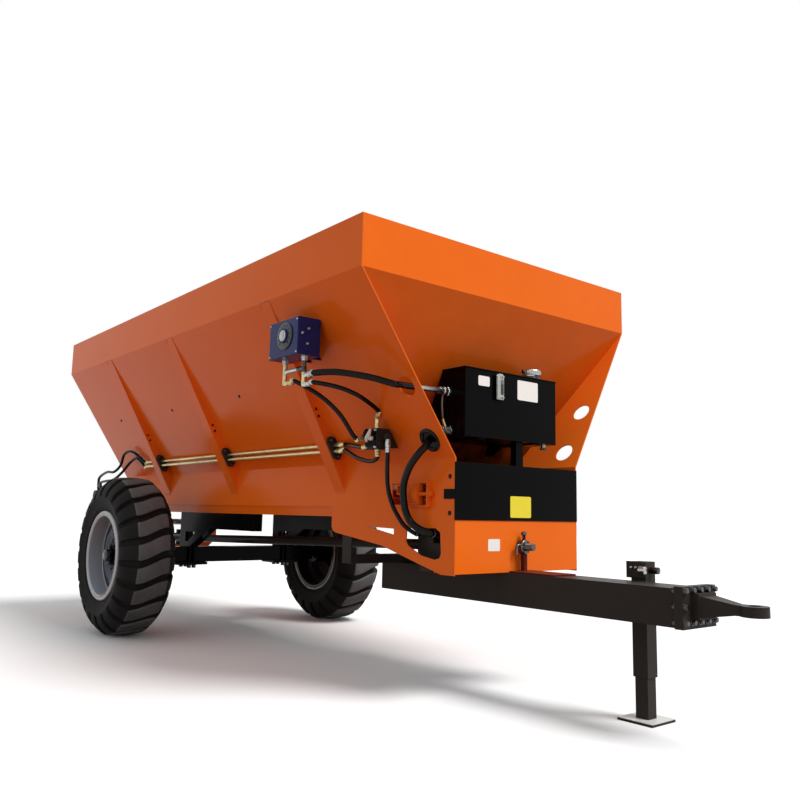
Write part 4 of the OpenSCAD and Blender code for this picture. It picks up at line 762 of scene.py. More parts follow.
def wheel_fittings(side):
    """Nuts, hub cap, rim ring with weld beads, and the valve of one wheel."""
    body = "wheel_" + side
    outward = TO_RIGHT if side == "right" else TO_LEFT
    hub = Vector(joints[body]["pos_m"])
    nuts, cap, ring, valve = Shape(), Shape(), Shape(), Shape()
    for a in around(STUDS):
        stud = hub + outward * DISH_FACE * MM + wheel_spoke(a) * STUD_CIRCLE * MM
        nuts.bolt(stud, outward, STUD_NUT)
        nuts.turned([(8, 20), (8, 30), (6, 32)], stud, outward, 12)
    nuts.piece("wheel_nuts_" + side, oiled_steel, body, "wheel_silver")

    cap.turned([(46, 0), (46, 8), (43, 14), (43, 20), (36, 28), (20, 33), (6, 34)],
               hub + outward * HUB_FACE * MM, outward, 40)
    for a in around(CAP_BOLTS, 0.5):
        cap.bolt(hub + outward * (HUB_FACE - 8) * MM + wheel_spoke(a) * CAP_CIRCLE * MM, outward, 10)
    cap.piece("hub_cap_" + side, black_lacquer, body, "gloss_black")

    lip = [(291, -2), (293, 5), (298, 9), (302, 8), (304, 2), (310, 2), (312, 8), (323, 8), (329, 3),
           (329, -2)]
    ring.turned([(radius, RIM_FACE + out) for radius, out in lip], hub, outward, 96, closed=True)
    for radius, out, bead in WHEEL_WELDS:
        weld = [(radius + bead * math.cos(a), out + bead * math.sin(a)) for a in around(8)]
        ring.turned(weld, hub, outward, 96, closed=True)
    ring.piece("rim_ring_" + side, wheel_silver, body, "wheel_silver")

    valve.turned([(9, 0), (9, 6), (5, 8), (5, 30), (6, 31), (6, 42), (4, 44)],
                 hub + outward * VALVE_OUT * MM + Vector((0.6, 0, 0.8)) * VALVE_REACH * MM,
                 outward + Vector((-0.15, 0, -0.2)), 16)
    valve.piece("tyre_valve_" + side, yellow_zinc, body, "yellow_zinc")


for side in ("right", "left"):
    wheel_fittings(side)

# %% [markdown]
# ## Flow control
# The blue box meters the oil for the conveyor. Its face carries a dark grey ring with black marks round a
# bright ribbed knob, which two small screws hold. The marks stay without numbers. The lid is a separate plate
# held by four screws, and three more screws close the box at its front.

# %% Flow control box
BOX_FACE_Y, BOX_FRONT_X = -1088.7, 2610
LID_LEFT, LID_RIGHT, LID_LOW, LID_HIGH = 2330, 2598, 1774, 1949
MARKS, MARK_CIRCLE, KNOB_RIBS, RING_TOP = 11, 55, 18, 12
dial_place = at(2482, BOX_FACE_Y, 1872)

control_lid = Shape().plate(at((LID_LEFT + LID_RIGHT) / 2, BOX_FACE_Y, (LID_LOW + LID_HIGH) / 2), AHEAD, UP,
                            width=286, height=197, thickness=3, corner=8)
control_lid.piece("control_lid", navy_enamel, "root", "navy_enamel")
dial_grey = painted_steel("grey dial enamel", "#585C57", "#4B4F4A", "#8A8578", 0.4, 0.1, wave=0.1, gleam=0.2)
dial_ring = Shape().turned([(30.5, 3), (32, RING_TOP), (68, RING_TOP), (74, 9), (74.5, 3)], dial_place,
                           TO_RIGHT, 64, closed=True)
dial_ring.piece("dial_ring", dial_grey, "root", "gloss_black")

ticks = Shape()
for k in range(MARKS):
    a = math.radians(-135 + 270 * k / (MARKS - 1))
    spoke = Vector((math.sin(a), 0, math.cos(a)))
    mark = dial_place + TO_RIGHT * RING_TOP * MM + spoke * MARK_CIRCLE * MM
    ticks.plate(mark, spoke.cross(TO_RIGHT), spoke, width=4 if k % 5 else 7, height=13, thickness=0.6)
ticks.piece("dial_marks", gloss_black, "root", "gloss_black")

knob = Shape().turned([(31.5, 9), (31.5, 20), (28, 24), (16, 24.6), (15, 30), (6, 31)], dial_place,
                      TO_RIGHT, 48)
for a in around(KNOB_RIBS):
    rib = dial_place + wheel_spoke(a) * 31 * MM
    knob.tube([rib + TO_RIGHT * 13 * MM, rib + TO_RIGHT * 20 * MM], 2.2, 8)
knob.piece("dial_knob", bright_zinc, "root", "yellow_zinc")

screws = Shape()
for z in (LID_LOW, LID_HIGH):
    for x in (LID_LEFT, LID_RIGHT):
        screws.bolt(at(x, BOX_FACE_Y - 3, z), TO_RIGHT, 7)
for y, z in ((-1025, 1904), (-1064, 1876), (-1031, 1822)):
    screws.bolt(at(BOX_FRONT_X, y, z), AHEAD, 11)
for sign in (-1, 1):
    screw = dial_place + Vector((sign * 4, 0, sign * 15)) * MM
    screws.turned([(9, 24), (9, 27), (7, 28.5)], screw, TO_RIGHT, 20)
screws.piece("control_screws", bright_zinc, "root", "yellow_zinc")

# %% [markdown]
# The ports under the box and at the valve are steel adaptors, plated yellow or bright or lacquered black. A
# sleeve with a hexagon goes over each straight stretch of the solids' stubs, from one place to another.

# %% Ports under the box and at the valve
SLEEVE_RADIUS = 11
PORT_Y, VALVE_Y = -1028.7, -644.6
SLEEVES = {
    "yellow": [((2390, PORT_Y, 1619), (2390, PORT_Y, 1760)), ((2390, PORT_Y, 1630), (2462, PORT_Y, 1630)),
               ((2583, PORT_Y, 1594), (2583, PORT_Y, 1672)), ((2755, -664.6, 1390), (2755, -664.6, 1447)),
               ((2650, -625, 1345), (2650, -691, 1345)), ((2685, VALVE_Y, 1300), (2648, VALVE_Y, 1300))],
    "bright": [((2583, PORT_Y, 1655), (2645, PORT_Y, 1655)), ((2583, PORT_Y, 1605), (2645, PORT_Y, 1605)),
               ((2390, PORT_Y, 1694), (2520, PORT_Y, 1694)), ((2825, VALVE_Y, 1335), (2825, VALVE_Y, 1298))],
    "black": [((2520, PORT_Y, 1694), (2583, PORT_Y, 1694)), ((2583, PORT_Y, 1672), (2583, PORT_Y, 1760))],
}
BOX_NUTS = {"bright": [(2390, 1760), (2583, 1760)]}
for metal, stretches in SLEEVES.items():
    sleeves = Shape()
    for start, end in stretches:
        a, b = at(*start), at(*end)
        length = (b - a).length / MM
        sleeves.turned([(SLEEVE_RADIUS, 0), (SLEEVE_RADIUS + 1, 1), (SLEEVE_RADIUS + 1, length - 1),
                        (SLEEVE_RADIUS, length)], a, b - a, 24)
        sleeves.turned([(15, 12), (15, 26), (13.5, 29)], a, b - a, 6)
    for x, z in BOX_NUTS.get(metal, []):
        sleeves.turned([(21, 0), (21, 9), (18, 12), (18, 24), (15, 27)], at(x, PORT_Y, z), DOWN, 6)
    material, slot = FITTING_METALS[metal]
    sleeves.piece("port_fittings_" + metal, material, "root", slot)

# %% [markdown]
# ## Valve block
# The valve is a black casting of stacked sections, bolted through, with a round spool cap and a short white
# hand lever in front. The lever is a small control, so it has no joint.

# %% Valve details
VALVE_FACE_Y = -689.6
SECTION_HEIGHTS = (1306, 1335, 1364)
sections = Shape()
for z in SECTION_HEIGHTS:
    sections.plate(at(2735, VALVE_FACE_Y, z), AHEAD, UP, width=92, height=24, thickness=4, corner=5)
sections.turned([(26, 0), (26, 8), (22, 12), (9, 13)], at(2707, VALVE_FACE_Y - 4, 1364), TO_RIGHT, 28)
sections.piece("valve_sections", gloss_black, "root", "gloss_black")

white_enamel = painted_steel("white enamel", "#EDEDE8", "#E2E1DA", "#CFC8BA", 0.35, 0.2, wave=0.1)
# The lever's middle line: place along, how far it stands off the face, height and radius
LEVER = [(2722, 20, 1318, 6), (2726, 23, 1330, 10), (2735, 26, 1342, 12), (2750, 28, 1354, 12),
         (2762, 30, 1370, 9), (2768, 31, 1384, 5)]
lever = Shape().turned([(12, 0), (12, 16), (10, 19)], at(2750, VALVE_FACE_Y - 4, 1336), TO_RIGHT, 24)
lever.tube([at(x, VALVE_FACE_Y - off, z) for x, off, z, r in LEVER], [r for x, off, z, r in LEVER], 16)
lever.piece("valve_lever", white_enamel, "root", "wheel_silver")

heads = Shape()
for x in (2695, 2775):
    for z in (1290, 1380):
        heads.bolt(at(x, VALVE_FACE_Y, z), TO_RIGHT, 11)
heads.piece("valve_bolts", bright_zinc, "root", "yellow_zinc")

# %% [markdown]
# ## Oil tank
# The tank is a welded black box with a lid whose edge stands out a little. On top sits a ribbed filler cap on
# its neck, with a catch beside it.

# %% Tank lid and filler
TANK_FACE_X, TANK_TOP, LID_SHEET = 3120, 1720, 5
CAP_PLACE, CAP_RADIUS, CAP_RIBS = at(3060, 224, TANK_TOP + LID_SHEET), 54, 30
tank_lid = Shape().plate(at(3031, 0, TANK_TOP), AHEAD, TO_LEFT, width=190, height=744, thickness=LID_SHEET,
                         corner=10)
tank_lid.piece("tank_lid", gloss_black, "root", "gloss_black")
neck = Shape().turned([(46, 0), (50, 3), (50, 13), (44, 16), (44, 26)], CAP_PLACE, UP, 48)
neck.piece("filler_neck", black_lacquer, "root", "gloss_black")
cap = Shape().turned([(CAP_RADIUS - 2, 26), (CAP_RADIUS, 29), (CAP_RADIUS, 50), (CAP_RADIUS - 4, 57),
                      (34, 61), (10, 62)], CAP_PLACE, UP, 48)
for a in around(CAP_RIBS):
    rib = CAP_PLACE + level_spoke(a) * CAP_RADIUS * MM
    cap.tube([rib + UP * 31 * MM, rib + UP * 48 * MM], 1.8, 6)
cap.piece("filler_cap", bright_zinc, "root", "yellow_zinc")
catch = Shape().turned([(8, -6), (12, -3), (12, 8), (8, 11)], CAP_PLACE + Vector((0, -66, 44)) * MM,
                       TO_RIGHT, 20)
catch.tube([CAP_PLACE + Vector((0, -52, 40)) * MM, CAP_PLACE + Vector((0, -62, 44)) * MM], 5, 10)
catch.piece("filler_cap_catch", black_lacquer, "root", "gloss_black")

# %% [markdown]
# In front of the tank sits a sight glass, a slot of clear acrylic in a metal body. The oil behind it is dark
# and the space above the oil is pale, so one height in the material is the oil's level.

# %% Sight glass and tank fittings
GLASS_Y, GLASS_Z, GLASS_SHIFT = -118, 1637, 14
OIL_LEVEL, HAZE_MM = 1.652, 30
oil_glass, tree, shader, place = new_material("dark oil behind clear acrylic")
height = add(tree, "SeparateXYZ", {0: place}).outputs["Z"]
level = add(tree, "MapRange", {0: height, 1: OIL_LEVEL, 2: OIL_LEVEL + 4 * MM}).outputs[0]
haze = add(tree, "TexNoise", {"Vector": place, "Scale": per_metre(HAZE_MM), "Detail": 3.0}).outputs["Fac"]
oil = add(tree, "Mix", {0: haze, 6: linear("#2E261C"), 7: linear("#3E3022")}, data_type="RGBA").outputs[2]
shown = add(tree, "Mix", {0: level, 6: oil, 7: linear("#6F726E")}, data_type="RGBA")
tree.links.new(shown.outputs[2], shader.inputs["Base Color"])
shader.inputs["IOR"].default_value = 1.49
shader.inputs["Roughness"].default_value = 0.08

glass_body = Shape().plate(at(TANK_FACE_X + 14, GLASS_Y, GLASS_Z), TO_LEFT, UP, width=56, height=138,
                           thickness=5, corner=6)
glass_body.plate(at(TANK_FACE_X + 19, GLASS_Y - GLASS_SHIFT, GLASS_Z), TO_LEFT, UP, width=22, height=128,
                 thickness=4, corner=5)
for dz in (-57, 57):
    glass_body.bolt(at(TANK_FACE_X + 19, GLASS_Y + GLASS_SHIFT, GLASS_Z + dz), AHEAD, 14)
glass_body.piece("sight_glass_body", bright_zinc, "root", "yellow_zinc")
glass = Shape().plate(at(TANK_FACE_X + 19, GLASS_Y + GLASS_SHIFT, GLASS_Z), TO_LEFT, UP, width=18, height=84,
                      thickness=2.5, corner=8)
glass.piece("sight_glass", oil_glass, "root", "yellow_zinc")

RETURN_PORT, SUCTION_PORT = at(2990, -366, 1600), at(3010, -366, 1385)
HEXAGON = [(28, 0), (28, 14), (25, 18)]
tank_nuts = Shape().turned(HEXAGON, RETURN_PORT, TO_RIGHT, 6)
tank_nuts.turned([(24, 18), (24, 40), (20, 44), (20, 70), (17, 74)], RETURN_PORT, TO_RIGHT, 32)
tank_nuts.piece("tank_nuts", bright_zinc, "root", "yellow_zinc")
tank_plugs = Shape().turned([(19, 0), (19, 12), (16, 15)], at(3060, 325, 1340), DOWN, 6)
tank_plugs.turned(HEXAGON, SUCTION_PORT, TO_RIGHT, 6)
tank_plugs.piece("tank_plugs", black_lacquer, "root", "gloss_black")

# %% [markdown]
# The tank rests on a folded channel that stands on the cover, and a thin leak line runs down its right side
# from the return fitting to the suction fitting, with a yellow plated end.

# %% Tank leg and leak line
LEG_HALF, LEG_DEPTH, LEG_SHEET, COVER_TOP, TANK_FOOT = 29, 40, 5, 1210, 1353
LEG_X, LEG_Y = 3100, 78
leg_inner = LEG_HALF - LEG_SHEET
channel = [(0, -LEG_HALF), (0, LEG_HALF), (-LEG_DEPTH, LEG_HALF), (-LEG_DEPTH, leg_inner),
           (-LEG_SHEET, leg_inner), (-LEG_SHEET, -leg_inner), (-LEG_DEPTH, -leg_inner),
           (-LEG_DEPTH, -LEG_HALF)]
leg = Shape().rings([[at(LEG_X + dx, LEG_Y + dy, z) for dx, dy in channel] for z in (COVER_TOP, TANK_FOOT)])
leg.piece("tank_leg", gloss_black, "root", "gloss_black")

LEAK_LINE = [(2990, -402, 1584), (2993, -412, 1566), (3003, -424, 1530), (3012, -430, 1490),
             (3011, -424, 1445), (3010, -412, 1420), (3010, -404, 1404)]
grey_line = moulded_rubber("grey leak line", "#5A5955", "#6E6B64", 0.4, 0.4, 6, 0.2)
line = Shape().tube(smooth_path(LEAK_LINE, 6), 5, 12)
line.piece("leak_line", grey_line, "root", "hose_rubber")
line_end = Shape().tube([at(*point) for point in LEAK_LINE[4:]], [7.5, 8.5, 8.5], 12)
line_end.piece("leak_line_end", yellow_zinc, "root", "yellow_zinc")

# %% [markdown]
# ## Holes in the sheets
# A rubber ring lines the lower hole in the slanted wall so that the sheet can't cut the suction hose, and a
# thin black skin inside it closes round the hose; the skin is a painted shade for the hole's dark inside. It
# stands square to the wall, which leans by 32.5 degrees.

# %% Rubber ring in the hose hole
WALL_OUT, WALL_DOWN = 0.8433, -0.5374
HOLE_PLACE = at(3043, -540.4, 1322.2)
wall_normal = Vector((0, -WALL_OUT, WALL_DOWN))
hole_ring = Shape().turned([(46, -10), (46, 3), (50, 8), (58, 9), (66, 6), (67, 0.4), (56.4, 0.4),
                            (56.4, -10)], HOLE_PLACE, wall_normal, 48, closed=True)
# Painted shade: a dark rubber skin that fills the hole round the hose
hole_ring.turned([(16, -7), (16, -3), (47, -1), (47, -7)], HOLE_PLACE, wall_normal, 48, closed=True)
hole_ring.piece("hose_hole_ring", hose_rubber, "root", "hose_rubber")

# %% [markdown]
# At the upper hole the return hose is pushed far over its pipe, so rubber goes through the sheet. The small
# bolt holes of the sheets are closed by domed black rubber plugs, a painted shade for the holes' dark inside.

# %% Hose over the return pipe, and plugs
hose_end, pipe_start = Vector(FRONT_HOSES[0][3][-1]), Vector((2990, -382, 1600))
over_pipe = Shape().tube([at(*hose_end.lerp(pipe_start, share)) for share in (0, 0.1, 0.2, 0.29, 0.3)],
                         [RETURN_HOSE] * 4 + [RETURN_HOSE - 2], 16)
over_pipe.piece("return_hose_end", hose_rubber, "root", "hose_rubber")

# Painted shade: black plugs in the bolt holes stand for the holes' dark inside
PLUG_PLACES = [(x, 774.8, 1690, WALL_OUT, WALL_DOWN) for x in (-739, 321, 1392)]
PLUG_PLACES += [(3135, 481, z, 1, 0) for z in (1136, 951)]
sheet_plugs = Shape()
for x, y, z, out, down in PLUG_PLACES:
    for sign in (-1, 1):
        outward = Vector((0, sign * out, down))
        sheet_plugs.turned([(12, 0), (12, 2), (9, 4.5), (3, 5.5)], at(x, sign * y, z), outward, 24)
sheet_plugs.piece("sheet_plugs", hose_rubber, "root", "hose_rubber")

# %% [markdown]
# ## Jack
# The jack's head has a bright roller and two bolt heads beside the drawbar, a lacquered boss takes the crank,
# and a zinc sheet lies on the foot, rubbed pale by the ground. The sheet goes up and down with the leg.

# %% Jack fittings
JACK_X, JACK_Y, FOOT_TOP = 3830, 152, 10
roller = Shape().turned([(9, -4), (14, -2), (18, 0), (18, 30), (14, 32), (9, 34)], at(3855, 85.5, 700),
                        AHEAD, 32)
for x in (JACK_X - 34, JACK_X - 8):
    roller.bolt(at(x, 104, 710), TO_RIGHT, 9)
roller.piece("jack_roller", bright_zinc, "root", "yellow_zinc")
boss = Shape().turned([(12, 0), (16.6, 1), (16.6, 42), (12, 45)], at(3871, JACK_Y, 698), AHEAD, 32)
boss.piece("jack_crank_boss", black_lacquer, "root", "gloss_black")
pale_zinc = painted_steel("pale rubbed zinc", "#DDDCD7", "#CFCDC7", "#BBB6AA", 0.4, 0.0, wave=0.2)
foot_sheet = Shape().plate(at(JACK_X, JACK_Y, FOOT_TOP), AHEAD, TO_LEFT, width=188, height=188, thickness=3,
                           corner=10)
foot_sheet.piece("jack_foot_sheet", pale_zinc, "jack_leg", "yellow_zinc")

# %% [markdown]
# ## Weld beads
# Ribs are welded to the sheets along both edges. A hand-laid bead is a row of small overlapping ripples, so
# each bead is a thin tube whose radius swells and shrinks every 7 mm. The ripple is a real weld's size.

# %% Weld beads on the ribs
BEAD_RADIUS, BEAD_SWELL, BEAD_RIPPLE_MM = 4, 0.16, 7
RIBS, RIB_HALF, RIB_FOOT_Z = (-340, 835, 2170), 50, 1065
BEND_Z, BAND_Z, TROUGH_Y, WALL_RISE = 1229, 2129, 481, 0.63722


def wall_y(z):
    """How far the slanted wall stands from the middle at a height, in millimetres."""
    return TROUGH_Y + max(0, z - BEND_Z) * WALL_RISE


def bead(shape, corners):
    """One bead of weld along a line of places."""
    places = [at(*corner) for corner in corners]
    path = []
    for a, b in zip(places, places[1:]):
        count = max(2, int((b - a).length / (BEAD_RIPPLE_MM * MM)) * 2)
        path += [a.lerp(b, k / count) for k in range(count)]
    path.append(places[-1])
    shape.tube(path, [BEAD_RADIUS * (1 + BEAD_SWELL * (-1) ** i) for i in range(len(path))], 6)


for name, sign in (("right", -1), ("left", 1)):
    welds = Shape()
    for x in RIBS:
        for edge in (-RIB_HALF, RIB_HALF):
            bead(welds, [(x + edge, sign * wall_y(z), z) for z in (RIB_FOOT_Z, BEND_Z, BAND_Z - 6)])
        bead(welds, [(x + edge, sign * TROUGH_Y, RIB_FOOT_Z) for edge in (-RIB_HALF, RIB_HALF)])
    welds.piece("rib_welds_" + name, orange_enamel, "root", "orange_enamel", 60)

# %% [markdown]
# ## Bolted joints
# Wherever two parts of the machine meet without weld there are hexagon heads on washers. Each group below is
# one list of places with the way the heads face, so a whole group becomes one mesh. The heads on black parts
# were lacquered with them, the others are plated.

# %% Bolted joints
DRIVE_X, IDLER_X, CONVEYOR_Z = -1380, 2870, 1047
PIPE_Y, PIPE_HEIGHTS = -577.2, (1300, 1335)
BAR_HALF, MOTOR_CIRCLE, AXLE_SEAT_Y = 100, 66, 430
FLANGE_ROWS = [(y, z) for z in (508, 642) for y in (-117, -58, 0, 58, 117)] + [(-117, 575), (117, 575)]
BOLT_GROUPS = {
    "hitch_bolts": [(at(4210, y, z), AHEAD, 22) for y, z in FLANGE_ROWS]
                   + [(at(4170, y, z), BACK, 22) for y, z in FLANGE_ROWS if abs(y) > BAR_HALF],
    "axle_clamp_nuts": [(at(x, sign * AXLE_SEAT_Y + dy, 505.8), DOWN, 32) for x in (-74, 74)
                        for sign in (-1, 1) for dy in (-20, 20)],
    "drive_bearing_bolts": [(at(DRIVE_X + dx, 511, CONVEYOR_Z + dz), TO_LEFT, 18)
                            for dx in (-38, 38) for dz in (-38, 38)],
    "motor_bolts": [(at(DRIVE_X + MOTOR_CIRCLE * math.cos(a), -621, CONVEYOR_Z + MOTOR_CIRCLE * math.sin(a)),
                     TO_RIGHT, 13) for a in around(8)],
    "pump_bolts": [(at(x, y, 867), UP, 13) for x in (2826, 2919) for y in (-394, -186)],
    "clamp_bolts": [(at(x + 70, PIPE_Y - 27.9 * end, sum(PIPE_HEIGHTS) / 2 + 47.4 * end), AHEAD, 16)
                    for x in RIBS for end in (-1, 1)],
}
LACQUERED = ("hitch_bolts", "axle_clamp_nuts", "clamp_bolts")
for name, places in BOLT_GROUPS.items():
    heads = Shape()
    for place, axis, size in places:
        heads.bolt(place, axis, size)
    material, slot = FITTING_METALS["black" if name in LACQUERED else "bright"]
    heads.piece(name, material, "root", slot)

# %% [markdown]
# The take-up of the conveyor chain was sprayed after it was bolted on, so its heads and the domed cap over
# the bearing have the paint's colour.

# %% Painted bolts of the chain take-ups
TAKE_UP_FACE = 507
heads = Shape()
for sign in (-1, 1):
    outward = TO_LEFT * sign
    for dx in (-34, 34):
        for dz in (-38, 38):
            heads.bolt(at(IDLER_X + dx, sign * TAKE_UP_FACE, CONVEYOR_Z + dz), outward, 16)
    heads.bolt(at(2995, sign * 497, CONVEYOR_Z), AHEAD, 26)
    heads.turned([(47, 0), (47, 9), (40, 15), (31, 17), (31, 23), (20, 28), (6, 29)],
                 at(IDLER_X, sign * TAKE_UP_FACE, CONVEYOR_Z), outward, 40)
heads.piece("take_up_bolts", orange_enamel, "root", "orange_enamel")

# %% [markdown]
# ## Pipe unions
# A steel pipe meets its hose in a union: a long hexagon nut and a shoulder, next to the hose's ferrule.

# %% Pipe unions
PIPE_ENDS = ((2300, BACK), (-600, AHEAD))
unions = Shape()
for z in PIPE_HEIGHTS:
    for x, axis in PIPE_ENDS:
        unions.turned([(15, 0), (15, 24), (13, 27)], at(x, PIPE_Y, z), axis, 6)
        unions.turned([(13, 26), (13, 44), (11.5, 47)], at(x, PIPE_Y, z), axis, 24)
unions.piece("pipe_unions", yellow_zinc, "root", "yellow_zinc")

# %% [markdown]
# ## Power take-off
# The tractor's shaft slides on the stub in front of the box. The stub has locking grooves and turns in a
# bearing housing on its post. The housing carries a knob on top and a hook at its side for the shaft's chain.

# %% Stub and its bearing
STUB_RISE = math.radians(1.4)
GROOVES, GROOVE_PITCH, HOUSING_BOLTS, HOUSING_CIRCLE = 8, 6, 6, 29
stub_axis = wheel_spoke(STUB_RISE)
stub_root = at(3173, 0, 779)
ridges = [(18.2, 44.2)]
for k in range(GROOVES):
    for radius, out in ((19.4, 45), (19.4, 48), (18.2, 49), (18.2, 50.4)):
        ridges.append((radius, out + GROOVE_PITCH * k))
splines = Shape().turned(ridges + [(18.8, 94), (18.8, 96.8), (15, 98.5)], stub_root, stub_axis, 32)
splines.piece("stub_splines", oiled_steel, "driveline", "worn_steel")

housing = Shape().turned([(21.5, 12), (34, 11), (38, 15), (38, 43), (34, 47), (21.5, 46)], stub_root,
                         stub_axis, 40, closed=True)
for a in around(HOUSING_BOLTS):
    spoke = Vector((0, math.cos(a), math.sin(a)))
    housing.bolt(stub_root + stub_axis * 46.5 * MM + spoke * HOUSING_CIRCLE * MM, stub_axis, 7)
housing.turned([(9, 0), (14, 4), (17, 11), (14, 20), (5, 24)], at(3202, 0, 838), UP, 28)
hook = [at(3202, y, z) for y, z in ((-34, 790), (-50, 789), (-56, 782), (-56, 740))]
housing.tube(hook, [8, 8, 8, 6], 12)
housing.piece("stub_bearing", oiled_steel, "root", "worn_steel")

# %% [markdown]
# ## Chain links
# The two conveyor strands are plain bands in the model. Flat side plates lie against them, one link after
# another round the loop, so that they read as chain from above and through the outlet.

# %% Chain links
CHAIN_MID, CHAIN_Y, CHAIN_HALF, LINK_PITCH = 70, 330, 20, 60


def on_loop(distance):
    """A place on the chain's middle line and the way it runs there, in millimetres."""
    straight, half_turn = IDLER_X - DRIVE_X, math.pi * CHAIN_MID
    distance %= 2 * (straight + half_turn)
    if distance < straight:
        return (DRIVE_X + distance, CONVEYOR_Z + CHAIN_MID), 0.0
    if distance < straight + half_turn:
        a = (distance - straight) / CHAIN_MID
        return (IDLER_X + CHAIN_MID * math.sin(a), CONVEYOR_Z + CHAIN_MID * math.cos(a)), a
    if distance < 2 * straight + half_turn:
        return (IDLER_X - (distance - straight - half_turn), CONVEYOR_Z - CHAIN_MID), math.pi
    a = math.pi + (distance - 2 * straight - half_turn) / CHAIN_MID
    return (DRIVE_X + CHAIN_MID * math.sin(a), CONVEYOR_Z + CHAIN_MID * math.cos(a)), a


loop_length = 2 * (IDLER_X - DRIVE_X + math.pi * CHAIN_MID)
link_count = round(loop_length / LINK_PITCH)
links = Shape()
for k in range(link_count):
    (x, z), angle = on_loop(k * loop_length / link_count)
    along = Vector((math.cos(angle), 0, -math.sin(angle)))
    over = Vector((math.sin(angle), 0, math.cos(angle)))
    offset = CHAIN_HALF + (3 if k % 2 else 0)
    for y in (-CHAIN_Y, CHAIN_Y):
        for face in (-1, 1):
            links.plate(at(x, y + face * offset, z), along, over * -face, width=LINK_PITCH + 14, height=22,
                        thickness=3, corner=9)
links.piece("chain_links", worn_steel, "root", "worn_steel")

# %% [markdown]
# ## Spinner discs
# Each vane is bolted through the disc, and a domed nut holds the disc on its upright shaft.

# %% Spinner fittings
VANES, VANE_FOOT, VANE_BOLTS, BOLT_BESIDE = 4, 12, (110, 185, 260), 17
for name, sign in (("spinner_right", -1), ("spinner_left", 1)):
    centre = Vector(joints[name]["pos_m"])
    low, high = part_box(name)
    disc_top = Vector((centre.x, centre.y, high.z))
    foot = Vector((centre.x, centre.y, low.z + VANE_FOOT * MM))
    heads = Shape().turned([(38, 0.4), (38, 5), (36, 6)], disc_top, UP, 32)
    heads.turned([(23, 6), (23, 20), (20, 24)], disc_top, UP, 6)
    heads.turned([(18, 24), (16, 32), (8, 38), (2, 39)], disc_top, UP, 24)
    for a in around(VANES):
        spoke = level_spoke(-sign * a)
        beside = Vector((-spoke.y, spoke.x, 0)) * sign
        for reach in VANE_BOLTS:
            heads.bolt(foot + (spoke * reach + beside * BOLT_BESIDE) * MM, UP, 14)
    heads.piece(name + "_bolts", bright_zinc, name, "worn_steel")

# %% [markdown]
# ## Lift cylinder
# A wiper gland closes the lower end of the barrel round the rod, and a plugged port sits at each end.

# %% Gland and ports of the lift cylinder
CYLINDER_RADIUS = 32
barrel_low, barrel_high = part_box("gate_cylinder")
gland = Shape().turned([(17.5, -8), (30, -8), (33, -5), (33.6, 0), (33.6, 16), (32.2, 18), (32.2, 0),
                        (17.5, 0)], Vector((ROD_PLACE.x, 0, barrel_low.z)), UP, 40, closed=True)
gland.piece("cylinder_gland", black_lacquer, "root", "gloss_black")
ports = Shape()
for z in (barrel_low.z + 45 * MM, barrel_high.z - 14 * MM):
    port = Vector((ROD_PLACE.x - (CYLINDER_RADIUS - 2) * MM, 0, z))
    ports.turned([(12, 0), (12, 9), (10, 10)], port, BACK, 24)
    ports.turned([(11, 10), (11, 19), (9.5, 21)], port, BACK, 6)
ports.piece("cylinder_ports", bright_zinc, "root", "yellow_zinc")

# %% [markdown]
# ## Gear housings
# Each housing is cast in two halves that meet in a flange, and the case between them has a bolted lid.

# %% Flanges and lid of the gear housings
GEAR_HALF, HOUSING_Y, FLANGE_RADIUS, FLANGE_HALF, FLANGE_CIRCLE = 75, 340, 90, 9, 82
LID_THICKNESS, LID_BOLT = 7, 50
gear_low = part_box("gearbox")[0]
gear_middle = Vector((gear_low.x, 0, gear_low.z)) + Vector((GEAR_HALF, 0, GEAR_HALF)) * MM
flanges, heads = Shape(), Shape()
for y in (-HOUSING_Y, HOUSING_Y):
    middle = gear_middle + TO_LEFT * y * MM
    flanges.turned([(GEAR_HALF + 0.3, -FLANGE_HALF), (FLANGE_RADIUS - 2, -FLANGE_HALF), (FLANGE_RADIUS, -7),
                    (FLANGE_RADIUS, 7), (FLANGE_RADIUS - 2, FLANGE_HALF), (GEAR_HALF + 0.3, FLANGE_HALF)],
                   middle, UP, 48, closed=True)
    for a in around(8, 0.5):
        heads.bolt(middle + (level_spoke(a) * FLANGE_CIRCLE + UP * FLANGE_HALF) * MM, UP, 10)
lid_place = gear_middle + BACK * GEAR_HALF * MM
flanges.plate(lid_place, UP, TO_LEFT, width=126, height=126, thickness=LID_THICKNESS, corner=10)
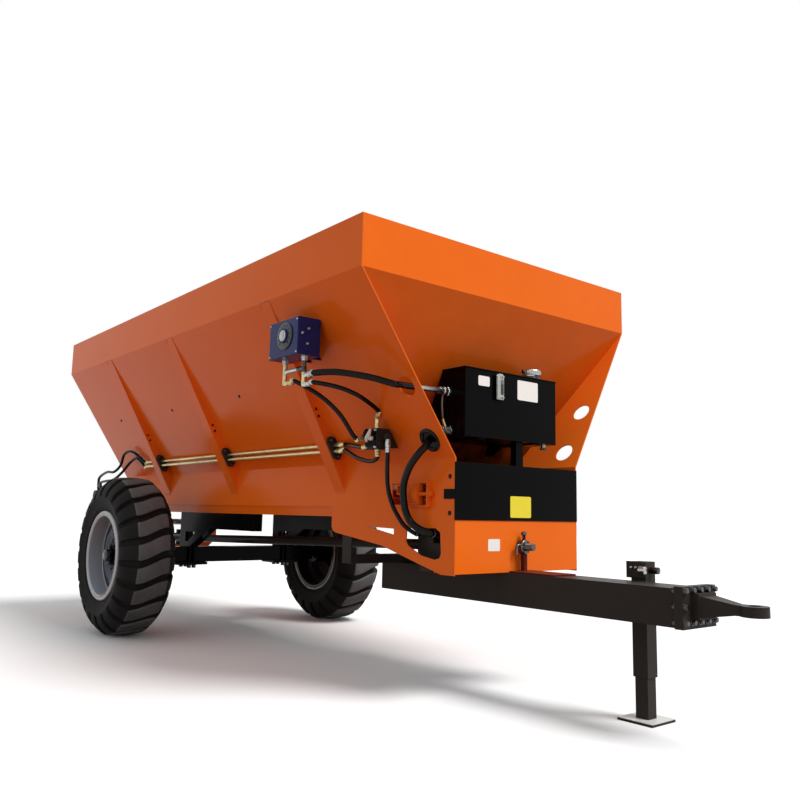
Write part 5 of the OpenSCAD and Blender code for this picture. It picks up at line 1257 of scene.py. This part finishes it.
for dy in (-LID_BOLT, LID_BOLT):
    for dz in (-LID_BOLT, LID_BOLT):
        heads.bolt(lid_place + Vector((-LID_THICKNESS, dy, dz)) * MM, BACK, 11)
flanges.piece("gear_flanges", satin_black, "root", "satin_black")
heads.piece("gear_bolts", bright_zinc, "root", "yellow_zinc")

# %% [markdown]
# ## Bare stickers
# Four small stickers sit on the front panels. They are thin vinyl with round corners, left without any print,
# and the vinyl is a little yellowed and scuffed so that they don't look like holes in the paint.

# %% Bare stickers
STAIN_MM, VINYL_SHEET = 35, 0.8
COVER_FACE_X, FRONT_BOX_X = 3177, 3173


def vinyl(name, colour, aged):
    """Thin film of one colour with stains, scuffs and faint creases."""
    material, tree, shader, place = new_material(name)
    stains = add(tree, "TexNoise", {"Vector": place, "Scale": per_metre(STAIN_MM), "Detail": 5.0,
                                    "Roughness": 0.7}).outputs["Fac"]
    mixed = add(tree, "Mix", {0: stains, 6: linear(colour), 7: linear(aged)}, data_type="RGBA")
    tree.links.new(mixed.outputs[2], shader.inputs["Base Color"])
    scuffs = add(tree, "MapRange", {0: stains, 1: 0.3, 2: 0.7, 3: 0.25, 4: 0.45})
    tree.links.new(scuffs.outputs[0], shader.inputs["Roughness"])
    creases = add(tree, "Bump", {"Height": stains, "Strength": 0.15, "Distance": 0.5 * MM})
    tree.links.new(creases.outputs[0], shader.inputs["Normal"])
    shader.inputs["IOR"].default_value = 1.53
    return material


white_vinyl = vinyl("white vinyl", "#FCFCF8", "#EEEDE6")
yellow_vinyl = vinyl("yellow vinyl", "#F4E41E", "#E8D518")
# Each sticker: its name, its middle, its width and height, and its vinyl
STICKERS = [("tank_sticker_small", (TANK_FACE_X, -226, 1660), 86, 54, white_vinyl),
            ("tank_sticker_large", (TANK_FACE_X, 124, 1642), 170, 112, white_vinyl),
            ("cover_sticker", (COVER_FACE_X, 2, 990), 164, 114, yellow_vinyl),
            ("front_box_sticker", (FRONT_BOX_X, -199, 790), 88, 62, white_vinyl)]
for name, middle, width, height, material in STICKERS:
    sticker = Shape().plate(at(*middle), TO_LEFT, UP, width, height, VINYL_SHEET, 8)
    sticker.piece(name, material, "root", "wheel_silver")
